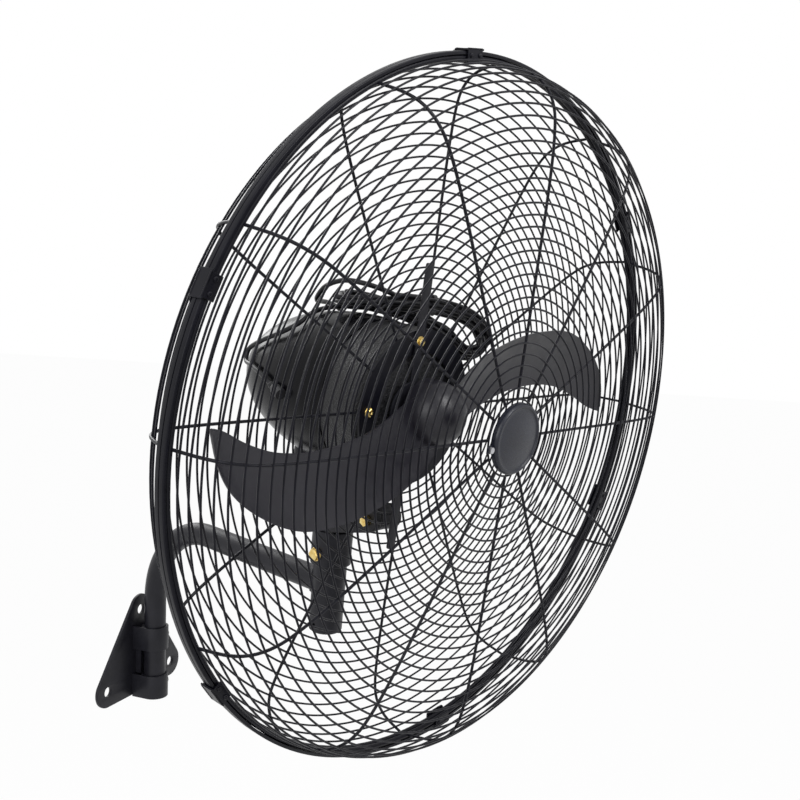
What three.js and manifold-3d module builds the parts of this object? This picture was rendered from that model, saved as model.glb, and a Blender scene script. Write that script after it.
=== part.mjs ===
// Wall mounted fan: a three-hole wall plate with two pipe collars, a bent swing arm, a neck that
// tilts, a motor head that oscillates on the neck, a two-blade impeller and a wire guard in two
// halves, with the mains cord coiled and tied on top of the motor.
//
// Millimetres, +Z up. The origin is the centre of the wall plate's back face, the wall is the
// plane y = 0, and the fan blows towards -Y. Pieces that touch keep a gap of about 0.3 mm.

import * as THREE from 'three';
import { mergeVertices } from 'three/addons/utils/BufferGeometryUtils.js';
import Module from 'manifold-3d';

const wasm = await Module();
wasm.setup();

// ---------------------------------------------------------------- driving dimensions

const GAP = 0.3;

// wall plate and collars
const PLATE_THICK = 5;
const PLATE_CORNER_R = 24;
const HOLE_R = 7.5;
const HOLE_HALF_SPAN = 78;
const HOLE_RISE = 54;
const PIPE_R = 16.5;
const PIPE_WALL = 2.2;
const PIPE_AXIS_Y = -32;
const COLLAR_OUTER_R = 20.5;
const COLLAR_BORE_R = PIPE_R + GAP;
const COLLAR_HEIGHT = 36;
const UPPER_COLLAR_Z = -4;
const LOWER_COLLAR_Z = -80;
const COLLAR_BOLT_R = 4.5;
const COLLAR_BOLT_HEAD = 7;
const SPINE_WIDE = 26;

// swing arm: one bent pipe
const PIPE_BOTTOM_Z = -73;
const BEND_START_Z = 76;
const BEND_R = 120;
const BEND_STEPS = 7;
const ARM_DROOP = 4.4;
const ARM_REACH = 378;
const ARM_SWING = -18;

// neck sleeve at the arm's end
const SLEEVE_Z = 176.5;
const SLEEVE_R = 22;
const SLEEVE_BORE_R = 17.6;
const SLEEVE_BOTTOM = -62;
const SLEEVE_TOP = 74;
const BAND_R = 26.5;
const BAND_BOTTOM = 28;
const LOCK_BOLT_Z = 44;

// tilt joint, in the fan's own frame (x right, y back, z up from the middle of the guard's rim)
const RIM_Y = -576;
const RIM_Z = 410;
const NOSE_DOWN = 8;
const TILT_Y = 92;
const TILT_Z = -147;
const KNUCKLE_R = 15;
const KNUCKLE_HALF = 13;
const EAR_THICK = 10;
const TILT_BOLT_R = 5;
const TILT_HEAD_R = 7.2;
const SWIVEL_Y = 150;
const SWIVEL_FLOOR_Z = -124;
const SWIVEL_PIN_R = 10;

// motor
const BELL_FRONT_Y = 64.4;
const BELL_BACK_Y = 125;
const BELL_R = 96;
const BELL_WALL = 4;
const SHAFT_R = 7;
const COVER_R = 98;
const COVER_CENTRE_Y = 150;
const COVER_LENGTH = 190;
const COVER_WALL = 2;
const SHAFT_BACK_Y = 258;
const CRANK_Y = 238;
const REAR_BELL_Y = 216;
const REAR_BELL_THICK = 5;
const GEARBOX_DEPTH = 33;
const ROTOR_R = 50;
const STATOR_BORE_R = 54;
const STATOR_R = 70;
const STATOR_FRONT_Y = 146;
const STATOR_BACK_Y = 178;
const WINDING_OVERHANG = 13;
const CRANK_THROW = 21;
const LUG_REACH = 30;
const LINK_Z = -132;

// impeller
const HUB_R = 40;
const HUB_WALL = 5;
const HUB_DOME_Y = 32;
const HUB_BACK_Y = 48;
const HUB_BOSS_R = 16;
const HUB_BORE_FRONT_Y = -2;
const GRUB_SCREW_R = 3;
const GRUB_SCREW_Y = 40;
const BLADE_TIP_R = 346;
const BLADE_ROOT_R = 28;
const BLADE_THICK = 3;

// wire guards
const RIM_R = 400;
const RIB_COUNT = 12;
const RIB_WIRE = 4.6;
const RING_WIRE_R = 2.1;
const RING_SEGMENTS = 24;
const FRONT_WALL = [[RIM_R, 0.8], [392, -40], [384, -60], [365.3, -72]];
const FRONT_FACE = [[360.4, -73.5], [325, -77.5], [44, -83]];
const REAR_WALL = [[RIM_R, 7.2], [391, 44], [380, 57], [362.5, 61.5]];
const REAR_FACE = [[357.6, 62], [94, 62]];
const RIM_WIRE_R = 3;
const RIM_SEGMENTS = 36;
const BAND_INNER_R = 402.4;
const BAND_THICK = 3.6;
const BAND_HALF = 6.5;
const BAND_Y = 4;
const STRAP_Y = 58.2;
const STRAP_X = -13;
const STRAP_HALF = 174;
const STRAP_EYE_R = 34;
const GUARD_SCREW_RADIUS = 82;
const GUARD_SCREW_R = 2.9;
const BADGE_R = 41;
const BADGE_Y = -84.4;
const BADGE_LUG_Z = -9;
const CLIP_WALL = 2;
const CLIP_ANGLES = [21, 81, 141, 201, 261, 321];

// cord
const CORD_R = 3.1;
const COIL_TURNS = 5.67;
const COIL_PITCH = 7.1;
const COIL_STEPS = 24;
const TIE_STEP = 14;
const TIE_SLACK = 1;
const TIE_THICK = 1.6;
const TIE_WIDE = 5;

// ---------------------------------------------------------------- materials

const paint = (color, roughness, metalness = 0.2) =>
  new THREE.MeshStandardMaterial({ color, roughness, metalness });
const satinBlack = () => paint(0x1f2026, 0.45);
const wirePaint = () => paint(0x191a20, 0.4);
const bladePaint = () => paint(0x33343b, 0.42);
const crinkleBlack = () => paint(0x141419, 0.75);
const glossBlack = () => paint(0x16171c, 0.15, 0);
const brass = () => paint(0xc9a64a, 0.3, 0.95);
const steel = () => paint(0x9a9da3, 0.35, 0.95);
const copper = () => paint(0xa05a2c, 0.4, 0.9);
const castIron = () => paint(0x2a2b30, 0.6, 0.4);
const cordRubber = () => paint(0x111114, 0.6, 0);

// ---------------------------------------------------------------- closed solids and booleans

const rad = THREE.MathUtils.degToRad;

// Merge shared corners, drop flat triangles and turn every face outwards.
function closed(geometry) {
  geometry.deleteAttribute('normal');
  geometry.deleteAttribute('uv');
  const merged = mergeVertices(geometry, 1e-3);
  const at = merged.attributes.position;
  const source = merged.index.array;
  const kept = [];
  let volume = 0;
  const [a, b, c] = [new THREE.Vector3(), new THREE.Vector3(), new THREE.Vector3()];
  for (let i = 0; i < source.length; i += 3) {
    const [p, q, r] = [source[i], source[i + 1], source[i + 2]];
    if (p === q || q === r || r === p) continue;
    kept.push(p, q, r);
    a.fromBufferAttribute(at, p);
    b.fromBufferAttribute(at, q);
    c.fromBufferAttribute(at, r);
    volume += a.dot(b.clone().cross(c));
  }
  if (volume < 0) kept.reverse();
  merged.setIndex(kept);
  return merged;
}

function toManifold(geometry) {
  const shape = closed(geometry);
  return new wasm.Manifold(new wasm.Mesh({
    numProp: 3,
    vertProperties: new Float32Array(shape.attributes.position.array),
    triVerts: new Uint32Array(shape.index.array),
  }));
}

function fromManifold(solid) {
  const mesh = solid.getMesh();
  const geometry = new THREE.BufferGeometry();
  geometry.setAttribute('position', new THREE.BufferAttribute(new Float32Array(mesh.vertProperties), 3));
  geometry.setIndex(Array.from(mesh.triVerts));
  return geometry;
}

const join = (...parts) => fromManifold(parts.map(toManifold).reduce((all, part) => all.add(part)));

const cut = (base, ...tools) =>
  fromManifold(tools.map(toManifold).reduce((left, tool) => left.subtract(tool), toManifold(base)));

// ---------------------------------------------------------------- simple shapes

const at = (geometry, x, y, z) => geometry.translate(x, y, z);

const box = (x, y, z) => new THREE.BoxGeometry(x, y, z);

// A turned shape about Y: its profile holds [radius, y] pairs and closes on the axis or on itself.
function turned(profile, segments = 32) {
  return new THREE.LatheGeometry(profile.map(([r, y]) => new THREE.Vector2(r, y)), segments);
}

// The same about Z, with [radius, z] pairs.
const turnedUp = (profile, segments) => turned(profile, segments).rotateX(Math.PI / 2);

function ringProfile(inner, outer, low, high) {
  return [[inner, low], [outer, low], [outer, high], [inner, high], [inner, low]];
}

const rodProfile = (radius, low, high) => [[0, low], [radius, low], [radius, high], [0, high]];

const rodY = (radius, low, high, segments = 14) => turned(rodProfile(radius, low, high), segments);

const rodZ = (radius, low, high, segments = 16) => turnedUp(rodProfile(radius, low, high), segments);

const rodX = (radius, low, high, segments = 16) =>
  turned(rodProfile(radius, low, high), segments).rotateZ(-Math.PI / 2);

// A flat outline in the Y-Z plane, with its thickness along X from low to high.
function sideExtrusion(outline, low, high) {
  const shape = new THREE.Shape(outline.map(([y, z]) => new THREE.Vector2(y, z)));
  const geometry = new THREE.ExtrudeGeometry(shape, { depth: high - low, bevelEnabled: false });
  return geometry.rotateY(Math.PI / 2).rotateX(Math.PI / 2).translate(low, 0, 0);
}

// Points of a circle's arc in degrees, as [u, v] pairs.
function arcPoints(u, v, radius, from, to, steps) {
  return Array.from({ length: steps + 1 }, (_, i) => {
    const angle = rad(from + (to - from) * i / steps);
    return [u + radius * Math.cos(angle), v + radius * Math.sin(angle)];
  });
}

function circleShape(radius, sides) {
  const points = arcPoints(0, 0, radius, 0, 360 - 360 / sides, sides - 1);
  return new THREE.Shape(points.map(([u, v]) => new THREE.Vector2(u, v)));
}

function sweep(points, radius, sides, steps) {
  const knots = points.map((p) => new THREE.Vector3(...p));
  const extrudePath = new THREE.CatmullRomCurve3(knots, false, 'centripetal');
  return new THREE.ExtrudeGeometry(circleShape(radius, sides), { steps, extrudePath, bevelEnabled: false });
}

// ---------------------------------------------------------------- scene graph

const group = new THREE.Group();

// Turns with the pipe in its collars.
const armFrame = new THREE.Group();
armFrame.position.set(0, PIPE_AXIS_Y, 0);
armFrame.rotation.z = rad(ARM_SWING);
group.add(armFrame);

// Square to the drooping end of the arm, with its origin where the arm meets the sleeve's axis.
const sleeveFrame = new THREE.Group();
sleeveFrame.position.set(0, -ARM_REACH, SLEEVE_Z);
sleeveFrame.rotation.x = rad(ARM_DROOP);
armFrame.add(sleeveFrame);

// The fan's own frame: x right, y back, z up, from the middle of the guard's rim.
const fanFrame = new THREE.Group();
fanFrame.position.set(0, RIM_Y, RIM_Z);
fanFrame.rotation.x = rad(NOSE_DOWN);
armFrame.add(fanFrame);

function piece(parent, name, geometry, material) {
  const mesh = new THREE.Mesh(closed(geometry), material);
  mesh.name = name;
  parent.add(mesh);
  return mesh;
}

// ---------------------------------------------------------------- wall plate and collars

function wallPlate() {
  const shape = new THREE.Shape();
  const corners = [[-HOLE_HALF_SPAN, -HOLE_RISE, 150, 270], [HOLE_HALF_SPAN, -HOLE_RISE, 270, 390],
    [0, HOLE_RISE, 30, 150]];
  const outline = corners.flatMap(([x, z, from, to]) => arcPoints(x, z, PLATE_CORNER_R, from, to, 8));
  shape.setFromPoints(outline.map(([x, z]) => new THREE.Vector2(x, z)));
  for (const [x, z] of corners) {
    const hole = arcPoints(x, z, HOLE_R, 360, 30, 11);
    shape.holes.push(new THREE.Path(hole.map(([u, v]) => new THREE.Vector2(u, v))));
  }
  const plate = new THREE.ExtrudeGeometry(shape, { depth: PLATE_THICK, bevelEnabled: false });
  return plate.rotateX(Math.PI / 2);
}

// A ring round the pipe with two legs back to the plate, drilled for its lock bolt.
function collar(bottom) {
  const front = PIPE_AXIS_Y;
  const ring = turnedUp(ringProfile(COLLAR_BORE_R, COLLAR_OUTER_R, bottom, bottom + COLLAR_HEIGHT), 24);
  const middle = bottom + COLLAR_HEIGHT / 2;
  const legDepth = -PIPE_AXIS_Y - PLATE_THICK - GAP;
  const legThick = COLLAR_OUTER_R - COLLAR_BORE_R;
  const legs = [-1, 1].map((side) => at(box(legThick, legDepth, COLLAR_HEIGHT),
    side * (COLLAR_OUTER_R - legThick / 2), front + legDepth / 2, middle));
  const bore = at(rodZ(COLLAR_BORE_R, bottom - 1, bottom + COLLAR_HEIGHT + 1, 24), 0, front, 0);
  const drill = at(rodX(COLLAR_BOLT_R + GAP, 0, 2 * COLLAR_OUTER_R), 0, front, middle);
  return cut(join(at(ring, 0, front, 0), ...legs), bore, drill);
}

function collarBolt(bottom) {
  const under = COLLAR_OUTER_R + GAP;
  const shank = rodX(COLLAR_BOLT_R, PIPE_R + GAP, under + 1, 12);
  const profile = [[0, 0], [8, 0], [8, 3], [6, COLLAR_BOLT_HEAD - 1], [0, COLLAR_BOLT_HEAD]];
  const head = turned(profile.map(([r, x]) => [r, under + x]), 12).rotateZ(-Math.PI / 2);
  return at(join(shank, head), 0, PIPE_AXIS_Y, bottom + COLLAR_HEIGHT / 2);
}

// The upright web that ties both collars to the plate between them.
function collarSpine() {
  const low = LOWER_COLLAR_Z + COLLAR_HEIGHT + GAP;
  const high = UPPER_COLLAR_Z - GAP;
  const depth = -PIPE_AXIS_Y - PLATE_THICK - PIPE_R - 2 * GAP;
  return at(box(SPINE_WIDE, depth, high - low), 0, -PLATE_THICK - GAP - depth / 2, (low + high) / 2);
}

piece(group, 'wall_plate', wallPlate(), satinBlack());
piece(group, 'collar_spine', collarSpine(), satinBlack());
piece(group, 'collar_upper', collar(UPPER_COLLAR_Z), satinBlack());
piece(group, 'collar_lower', collar(LOWER_COLLAR_Z), satinBlack());
piece(group, 'collar_bolt_upper', collarBolt(UPPER_COLLAR_Z), satinBlack());
piece(group, 'collar_bolt_lower', collarBolt(LOWER_COLLAR_Z), satinBlack());

// ---------------------------------------------------------------- swing arm

// The pipe's middle line: up the wall, round the bend, then along the drooping reach.
function armPath() {
  const corner = (angle) => new THREE.Vector3(
    0, -BEND_R + BEND_R * Math.cos(rad(angle)), BEND_START_Z + BEND_R * Math.sin(rad(angle)));
  const knots = [new THREE.Vector3(0, 0, PIPE_BOTTOM_Z)];
  for (let i = 0; i <= BEND_STEPS; i += 1) knots.push(corner((90 + ARM_DROOP) * i / BEND_STEPS));
  const slope = new THREE.Vector3(0, -Math.cos(rad(ARM_DROOP)), -Math.sin(rad(ARM_DROOP)));
  knots.push(new THREE.Vector3(0, -ARM_REACH, SLEEVE_Z).addScaledVector(slope, -SLEEVE_R + 0.6));
  return knots;
}

// A mitred tube through the knots of the arm: one ring of points at each knot, inside and out.
function pipeShell(knots, outer, inner, sides) {
  const tube = (radius, grow) => {
    const points = knots.map((knot) => knot.clone());
    const start = points[1].clone().sub(points[0]).setLength(grow);
    const end = points.at(-1).clone().sub(points.at(-2)).setLength(grow);
    points[0].sub(start);
    points.at(-1).add(end);
    return mitredTube(points, radius, sides);
  };
  return cut(tube(outer, 0), tube(inner, 2));
}

// A closed tube of flat-ended rings in the Y-Z plane's bend, mitred at every knot.
function mitredTube(points, radius, sides) {
  const positions = [];
  const faces = [];
  points.forEach((point, i) => {
    const back = points[Math.max(i - 1, 0)];
    const next = points[Math.min(i + 1, points.length - 1)];
    const into = point.clone().sub(back).normalize();
    const out = next.clone().sub(point).normalize();
    const along = into.clone().add(out).normalize();
    const across = new THREE.Vector3(1, 0, 0);
    const upward = along.clone().cross(across).normalize();
    const stretch = i === 0 || i === points.length - 1 ? 1 : 1 / along.dot(into);
    for (let s = 0; s < sides; s += 1) {
      const angle = 2 * Math.PI * s / sides;
      const ring = point.clone().addScaledVector(across, radius * Math.cos(angle));
      positions.push(ring.addScaledVector(upward, radius * stretch * Math.sin(angle)));
    }
  });
  for (let i = 0; i + 1 < points.length; i += 1) {
    for (let s = 0; s < sides; s += 1) {
      const [a, b] = [i * sides + s, i * sides + (s + 1) % sides];
      faces.push(a, b, b + sides, a, b + sides, a + sides);
    }
  }
  for (let s = 1; s + 1 < sides; s += 1) {
    const last = (points.length - 1) * sides;
    faces.push(0, s + 1, s, last, last + s, last + s + 1);
  }
  const geometry = new THREE.BufferGeometry().setFromPoints(positions);
  geometry.setIndex(faces);
  return geometry;
}

const armKnots = armPath();
const saddle = () => rodZ(SLEEVE_R + GAP, -60, 60, 22)
  .rotateX(rad(ARM_DROOP)).translate(0, -ARM_REACH, SLEEVE_Z);

piece(armFrame, 'arm_pipe',
  cut(pipeShell(armKnots, PIPE_R, PIPE_R - PIPE_WALL, 16), saddle()), satinBlack());
piece(armFrame, 'pipe_plug',
  turnedUp([[0, PIPE_BOTTOM_Z - 3], [13, PIPE_BOTTOM_Z - 3], [15.8, PIPE_BOTTOM_Z - 1.6],
    [15.8, PIPE_BOTTOM_Z - GAP], [13.8, PIPE_BOTTOM_Z - GAP], [13.8, PIPE_BOTTOM_Z + 12],
    [0, PIPE_BOTTOM_Z + 12]], 20), crinkleBlack());

// ---------------------------------------------------------------- neck sleeve and its lock bolt

function neckSleeve() {
  const body = turnedUp([[SLEEVE_BORE_R, SLEEVE_BOTTOM], [SLEEVE_R - 2.5, SLEEVE_BOTTOM],
    [SLEEVE_R, SLEEVE_BOTTOM + 2.5], [SLEEVE_R, SLEEVE_TOP],
    [SLEEVE_BORE_R, SLEEVE_TOP], [SLEEVE_BORE_R, SLEEVE_BOTTOM]], 22);
  const lockHole = at(rodX(5.3, -40, 0), 0, 0, LOCK_BOLT_Z);
  const pinHole = at(rodX(3, -40, 0), 0, 0, SLEEVE_BOTTOM + 10);
  return cut(body, lockHole, pinHole);
}

function sleeveBand() {
  const ring = turnedUp([[SLEEVE_R + GAP, BAND_BOTTOM], [BAND_R - 1, BAND_BOTTOM], [BAND_R, BAND_BOTTOM + 1],
    [BAND_R, SLEEVE_TOP - 1], [BAND_R - 1, SLEEVE_TOP], [SLEEVE_R + GAP, SLEEVE_TOP],
    [SLEEVE_R + GAP, BAND_BOTTOM]], 22);
  return cut(ring, at(rodX(5.3, -40, 0), 0, 0, LOCK_BOLT_Z));
}

// A hexagon bolt through band and sleeve that bears on the neck's stem.
function lockBolt() {
  const shank = rodX(5, -30, -15.6, 12);
  const washer = rodX(9, -29.2, -27.4, 16);
  const head = rodX(8, -34.5, -29, 6);
  return at(join(shank, washer, head), 0, 0, LOCK_BOLT_Z);
}

piece(sleeveFrame, 'neck_sleeve', neckSleeve(), satinBlack());
piece(sleeveFrame, 'sleeve_band', sleeveBand(), satinBlack());
piece(sleeveFrame, 'lock_bolt', lockBolt(), brass());
piece(sleeveFrame, 'sleeve_cap', turnedUp([[0, SLEEVE_BOTTOM - 4], [10, SLEEVE_BOTTOM - 3.6],
  [18, SLEEVE_BOTTOM - 1.8], [19.4, SLEEVE_BOTTOM - GAP], [SLEEVE_BORE_R - GAP, SLEEVE_BOTTOM - GAP],
  [SLEEVE_BORE_R - GAP, SLEEVE_BOTTOM + 6], [0, SLEEVE_BOTTOM + 6]], 18), crinkleBlack());

// ---------------------------------------------------------------- tilt yoke

// The tilt axis in the sleeve's frame, worked out from its place in the fan's frame.
function tiltInSleeve() {
  const sideways = new THREE.Vector3(1, 0, 0);
  const point = new THREE.Vector3(0, TILT_Y, TILT_Z).applyAxisAngle(sideways, rad(NOSE_DOWN));
  point.add(new THREE.Vector3(0, RIM_Y + ARM_REACH, RIM_Z - SLEEVE_Z));
  point.applyAxisAngle(sideways, -rad(ARM_DROOP));
  return [point.y, point.z];
}

const [earY, earZ] = tiltInSleeve();

function tiltYoke() {
  const stem = rodZ(15, 10, SLEEVE_TOP + 6, 16);
  const shoulder = rodZ(25, SLEEVE_TOP + GAP, SLEEVE_TOP + 9, 20);
  const inner = KNUCKLE_HALF + GAP;
  const outer = inner + EAR_THICK;
  const foot = [[24, SLEEVE_TOP + 1], [24, SLEEVE_TOP + 9], [-20, SLEEVE_TOP + 16], [earY + 16, earZ + 2]];
  const eye = arcPoints(earY, earZ, 16, 60, 250, 10);
  const ear = (low) => sideExtrusion([...foot, ...eye, [-14, SLEEVE_TOP + 1]], low, low + EAR_THICK);
  const hollow = rodX(KNUCKLE_R + 2.5, -inner, inner, 16);
  const cheek = at(box(2 * outer, 34, 9), 0, 2, SLEEVE_TOP + 5.5);
  const bolt = at(rodX(TILT_BOLT_R + GAP, -40, 40), 0, earY, earZ);
  return cut(join(stem, shoulder, ear(-outer), ear(inner), cheek), at(hollow, 0, earY, earZ), bolt);
}

// Bolt head, shank and nut of the tilt joint, on the tilt axis.
function tiltBolt() {
  const side = KNUCKLE_HALF + GAP + EAR_THICK + GAP;
  return at(join(rodX(TILT_BOLT_R, -side - 1, side + 9, 12), rodX(TILT_HEAD_R, -side - 6, -side, 6)),
    0, earY, earZ);
}

function tiltNut() {
  const side = KNUCKLE_HALF + GAP + EAR_THICK + GAP;
  return at(cut(rodX(9, side, side + 7, 6), rodX(TILT_BOLT_R + GAP, side - 1, side + 9, 12)), 0, earY, earZ);
}

piece(sleeveFrame, 'tilt_yoke', tiltYoke(), castIron());
piece(sleeveFrame, 'tilt_bolt', tiltBolt(), brass());
piece(sleeveFrame, 'tilt_nut', tiltNut(), brass());

// ---------------------------------------------------------------- neck casting

// The knuckle between the yoke's ears, and the shelf with the swivel pin that carries the head.
function neckCasting() {
  const floor = SWIVEL_FLOOR_Z;
  const knuckle = at(rodX(KNUCKLE_R, -KNUCKLE_HALF, KNUCKLE_HALF, 16), 0, TILT_Y, TILT_Z);
  const side = [[TILT_Y - 8, TILT_Z + 12], [TILT_Y + 10, TILT_Z - 11], [SWIVEL_Y + 12, floor - 10],
    [SWIVEL_Y + 12, floor - 2], [TILT_Y + 2, floor - 2]];
  const web = sideExtrusion(side, -KNUCKLE_HALF, KNUCKLE_HALF);
  const shelf = at(rodZ(20, floor - 10, floor, 20), 0, SWIVEL_Y, 0);
  const pin = at(rodZ(SWIVEL_PIN_R, floor - 2, floor + 21, 16), 0, SWIVEL_Y, 0);
  const lugArm = at(box(14, LUG_REACH, 6.4), 0, SWIVEL_Y + LUG_REACH / 2, LINK_Z - 5);
  const lugRoot = at(box(14, 14, 12), 0, SWIVEL_Y + 12, LINK_Z - 2.2);
  const lugEnd = at(rodZ(8, LINK_Z - 8.2, LINK_Z - 1.8, 16), 0, SWIVEL_Y + LUG_REACH, 0);
  const bolt = at(rodX(TILT_BOLT_R + GAP, -40, 40), 0, TILT_Y, TILT_Z);
  return cut(join(knuckle, web, shelf, pin, lugArm, lugRoot, lugEnd), bolt);
}

piece(fanFrame, 'neck_casting', neckCasting(), castIron());

// ---------------------------------------------------------------- motor housing

function coverRadius(y) {
  return COVER_R * Math.sqrt(Math.max(0, 1 - ((y - COVER_CENTRE_Y) / COVER_LENGTH) ** 2));
}

// The bullet-shaped tail as [radius, y] pairs, its skin drawn in by a wall's thickness.
function coverSkin(inset) {
  const stations = [BELL_BACK_Y + GAP, 165, 205, 245, 280, 308, 328];
  const scale = 1 - inset / COVER_R;
  const skin = stations.map((y) => [coverRadius(y) * scale, COVER_CENTRE_Y + (y - COVER_CENTRE_Y) * scale]);
  skin[0][1] = BELL_BACK_Y + GAP;
  return [...skin, [0, COVER_CENTRE_Y + COVER_LENGTH * scale]];
}

function tailCover() {
  const outside = coverSkin(0);
  const shell = turned([...outside, ...coverSkin(COVER_WALL).reverse(), outside[0]], 22);
  return cut(shell, at(rodZ(16, -110, -60, 14), 0, CRANK_Y, 0));
}

function frontBell() {
  const face = BELL_FRONT_Y;
  return turned([[18, face - 2], [28, face - 2], [30, face], [86, face], [93, face + 3], [BELL_R, face + 9],
    [BELL_R, BELL_BACK_Y], [BELL_R - BELL_WALL, BELL_BACK_Y], [BELL_R - BELL_WALL, face + 11],
    [86, face + 6], [24, face + 6], [24, face + 20], [18, face + 20], [18, face - 2]], 24);
}

// The rear bearing's plate, held in the tail cover.
function rearBell() {
  const bore = SHAFT_R + 6.3;
  const [front, face, back] = [REAR_BELL_Y - 8, REAR_BELL_Y, REAR_BELL_Y + REAR_BELL_THICK];
  return turned([[bore, front], [20, front], [24, face], [84, face], [84, back], [bore, back],
    [bore, front]], 16);
}

const bearing = (low, high, outer) =>
  turned(ringProfile(SHAFT_R + GAP, outer - GAP, low, high), 14);

// The copper winding: a bundle at each end of the stator, joined through its bore.
function winding() {
  const [inner, sleeve, outer] = [STATOR_BORE_R - 2, STATOR_BORE_R - GAP, STATOR_R - 4];
  const [front, back] = [STATOR_FRONT_Y - GAP, STATOR_BACK_Y + GAP];
  return turned([[inner, front - WINDING_OVERHANG], [outer - 3, front - WINDING_OVERHANG],
    [outer, front - WINDING_OVERHANG + 3], [outer, front], [sleeve, front], [sleeve, back], [outer, back],
    [outer, back + WINDING_OVERHANG - 3], [outer - 3, back + WINDING_OVERHANG],
    [inner, back + WINDING_OVERHANG], [inner, front - WINDING_OVERHANG]], 16);
}

// The foot under the motor, hollowed to the housing's belly and bored for the swivel pin.
function swivelFoot() {
  const floor = SWIVEL_FLOOR_Z + GAP;
  const block = at(box(50, 92, 22), 0, SWIVEL_Y + 2, floor + 17);
  const foot = join(block, at(rodZ(23, floor, floor + 12, 20), 0, SWIVEL_Y, 0));
  const belly = rodY(COVER_R + GAP, SWIVEL_Y - 90, SWIVEL_Y + 90, 28);
  return cut(foot, belly, at(rodZ(SWIVEL_PIN_R + GAP, floor - 5, -60, 16), 0, SWIVEL_Y, 0));
}

// The gearbox block behind the rear bearing, with the spout that carries the crank's spindle.
function gearbox() {
  const front = REAR_BELL_Y + REAR_BELL_THICK + 2 * GAP;
  const block = at(box(52, GEARBOX_DEPTH, 70), 0, front + GEARBOX_DEPTH / 2, -18);
  const spout = at(rodZ(14, SWIVEL_FLOOR_Z + 6, -40, 14), 0, CRANK_Y, 0);
  const shaftBore = rodY(SHAFT_R + 1.2, CRANK_Y - 30, CRANK_Y + 30, 16);
  const spindleBore = at(rodZ(5.3, SWIVEL_FLOOR_Z, -30, 16), 0, CRANK_Y, 0);
  return cut(join(block, spout), shaftBore, spindleBore);
}

piece(fanFrame, 'motor_front_bell', frontBell(), crinkleBlack());
piece(fanFrame, 'tail_cover', tailCover(), glossBlack());
piece(fanFrame, 'motor_rear_bell', rearBell(), castIron());
piece(fanFrame, 'bearing_front', bearing(BELL_FRONT_Y + 8, BELL_FRONT_Y + 19, 18), steel());
piece(fanFrame, 'bearing_rear', bearing(210, 220, SHAFT_R + 6.3), steel());
piece(fanFrame, 'stator',
  turned(ringProfile(STATOR_BORE_R, STATOR_R, STATOR_FRONT_Y, STATOR_BACK_Y), 16), steel());
piece(fanFrame, 'winding', winding(), copper());
piece(fanFrame, 'swivel_foot', swivelFoot(), castIron());
piece(fanFrame, 'gearbox', gearbox(), castIron());

// ---------------------------------------------------------------- oscillation crank

// Spindle, disc and crank pin in one piece. At rest the pin points to the front.
function crank() {
  const top = SWIVEL_FLOOR_Z + 5.6;
  const spindle = at(rodZ(5, top - 4, -34, 16), 0, CRANK_Y, 0);
  const disc = at(rodZ(CRANK_THROW + 7, top - 8, top - 2, 24), 0, CRANK_Y, 0);
  const pin = at(rodZ(4, LINK_Z - 3, top - 6, 12), 0, CRANK_Y - CRANK_THROW, 0);
  return join(spindle, disc, pin);
}

// A flat rod from the crank pin to just above the neck's lug.
function linkRod() {
  const front = SWIVEL_Y + LUG_REACH;
  const back = CRANK_Y - CRANK_THROW;
  const [low, high] = [LINK_Z, LINK_Z + 4.5];
  const bar = at(box(11, back - front, high - low), 0, (front + back) / 2, (low + high) / 2);
  const eyes = [front, back].map((y) => at(rodZ(8, low, high, 16), 0, y, 0));
  return cut(join(bar, ...eyes), at(rodZ(4 + GAP, low - 1, high + 1, 12), 0, back, 0));
}

piece(fanFrame, 'crank', crank(), steel());
piece(fanFrame, 'link_rod', linkRod(), steel());

// ---------------------------------------------------------------- shaft, rotor and impeller

function motorShaft() {
  const worm = turned([[0, 224], [SHAFT_R, 224], [SHAFT_R, 228], [5, 230], [5, SHAFT_BACK_Y - 6],
    [SHAFT_R - 1, SHAFT_BACK_Y - 5], [SHAFT_R - 1, SHAFT_BACK_Y], [0, SHAFT_BACK_Y]], 16);
  return join(rodY(SHAFT_R, HUB_BORE_FRONT_Y + GAP, 225), worm);
}

// The hub's round nose from the axis out to its skirt, or from the skirt in to a smaller radius.
const domeProfile = (radius, from, to, steps) => arcPoints(0, HUB_DOME_Y, radius, from, to, steps);

// A domed shell open at the back, with a boss bored from behind and drilled for the grub screw.
function impellerHub() {
  const inside = HUB_R - HUB_WALL;
  const bossAngle = -THREE.MathUtils.radToDeg(Math.acos(HUB_BOSS_R / inside));
  const bossBack = HUB_BACK_Y - 3;
  const body = turned([...domeProfile(HUB_R, -90, 0, 6), [HUB_R, HUB_BACK_Y], [inside, HUB_BACK_Y],
    ...domeProfile(inside, 0, bossAngle, 4), [HUB_BOSS_R, bossBack], [SHAFT_R + GAP, bossBack],
    [SHAFT_R + GAP, HUB_BORE_FRONT_Y], [0, HUB_BORE_FRONT_Y]], 18);
  return cut(body, at(rodZ(GRUB_SCREW_R + GAP, SHAFT_R - 2, HUB_R + 5, 12), 0, GRUB_SCREW_Y, 0));
}

// Blade edges by radius: [radius, leading angle, trailing angle, leading y, trailing y], with the
// angles clockwise from the left as seen from the front.
const BLADE_STATIONS = [[BLADE_ROOT_R, 50, -82, 34, 12], [60, 12, -66, 33, 9], [90, -3, -55, 32, 7],
  [130, -8, -44.5, 31, 5], [190, -8, -33.5, 30, 2], [245, -5.4, -25.2, 28, 2], [290, -1.8, -16.6, 25, 5],
  [322, 1, -9.6, 20, 7], [338, 1.8, -4.2, 15, 8], [BLADE_TIP_R, 2, 0.8, 12, 9]];

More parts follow.
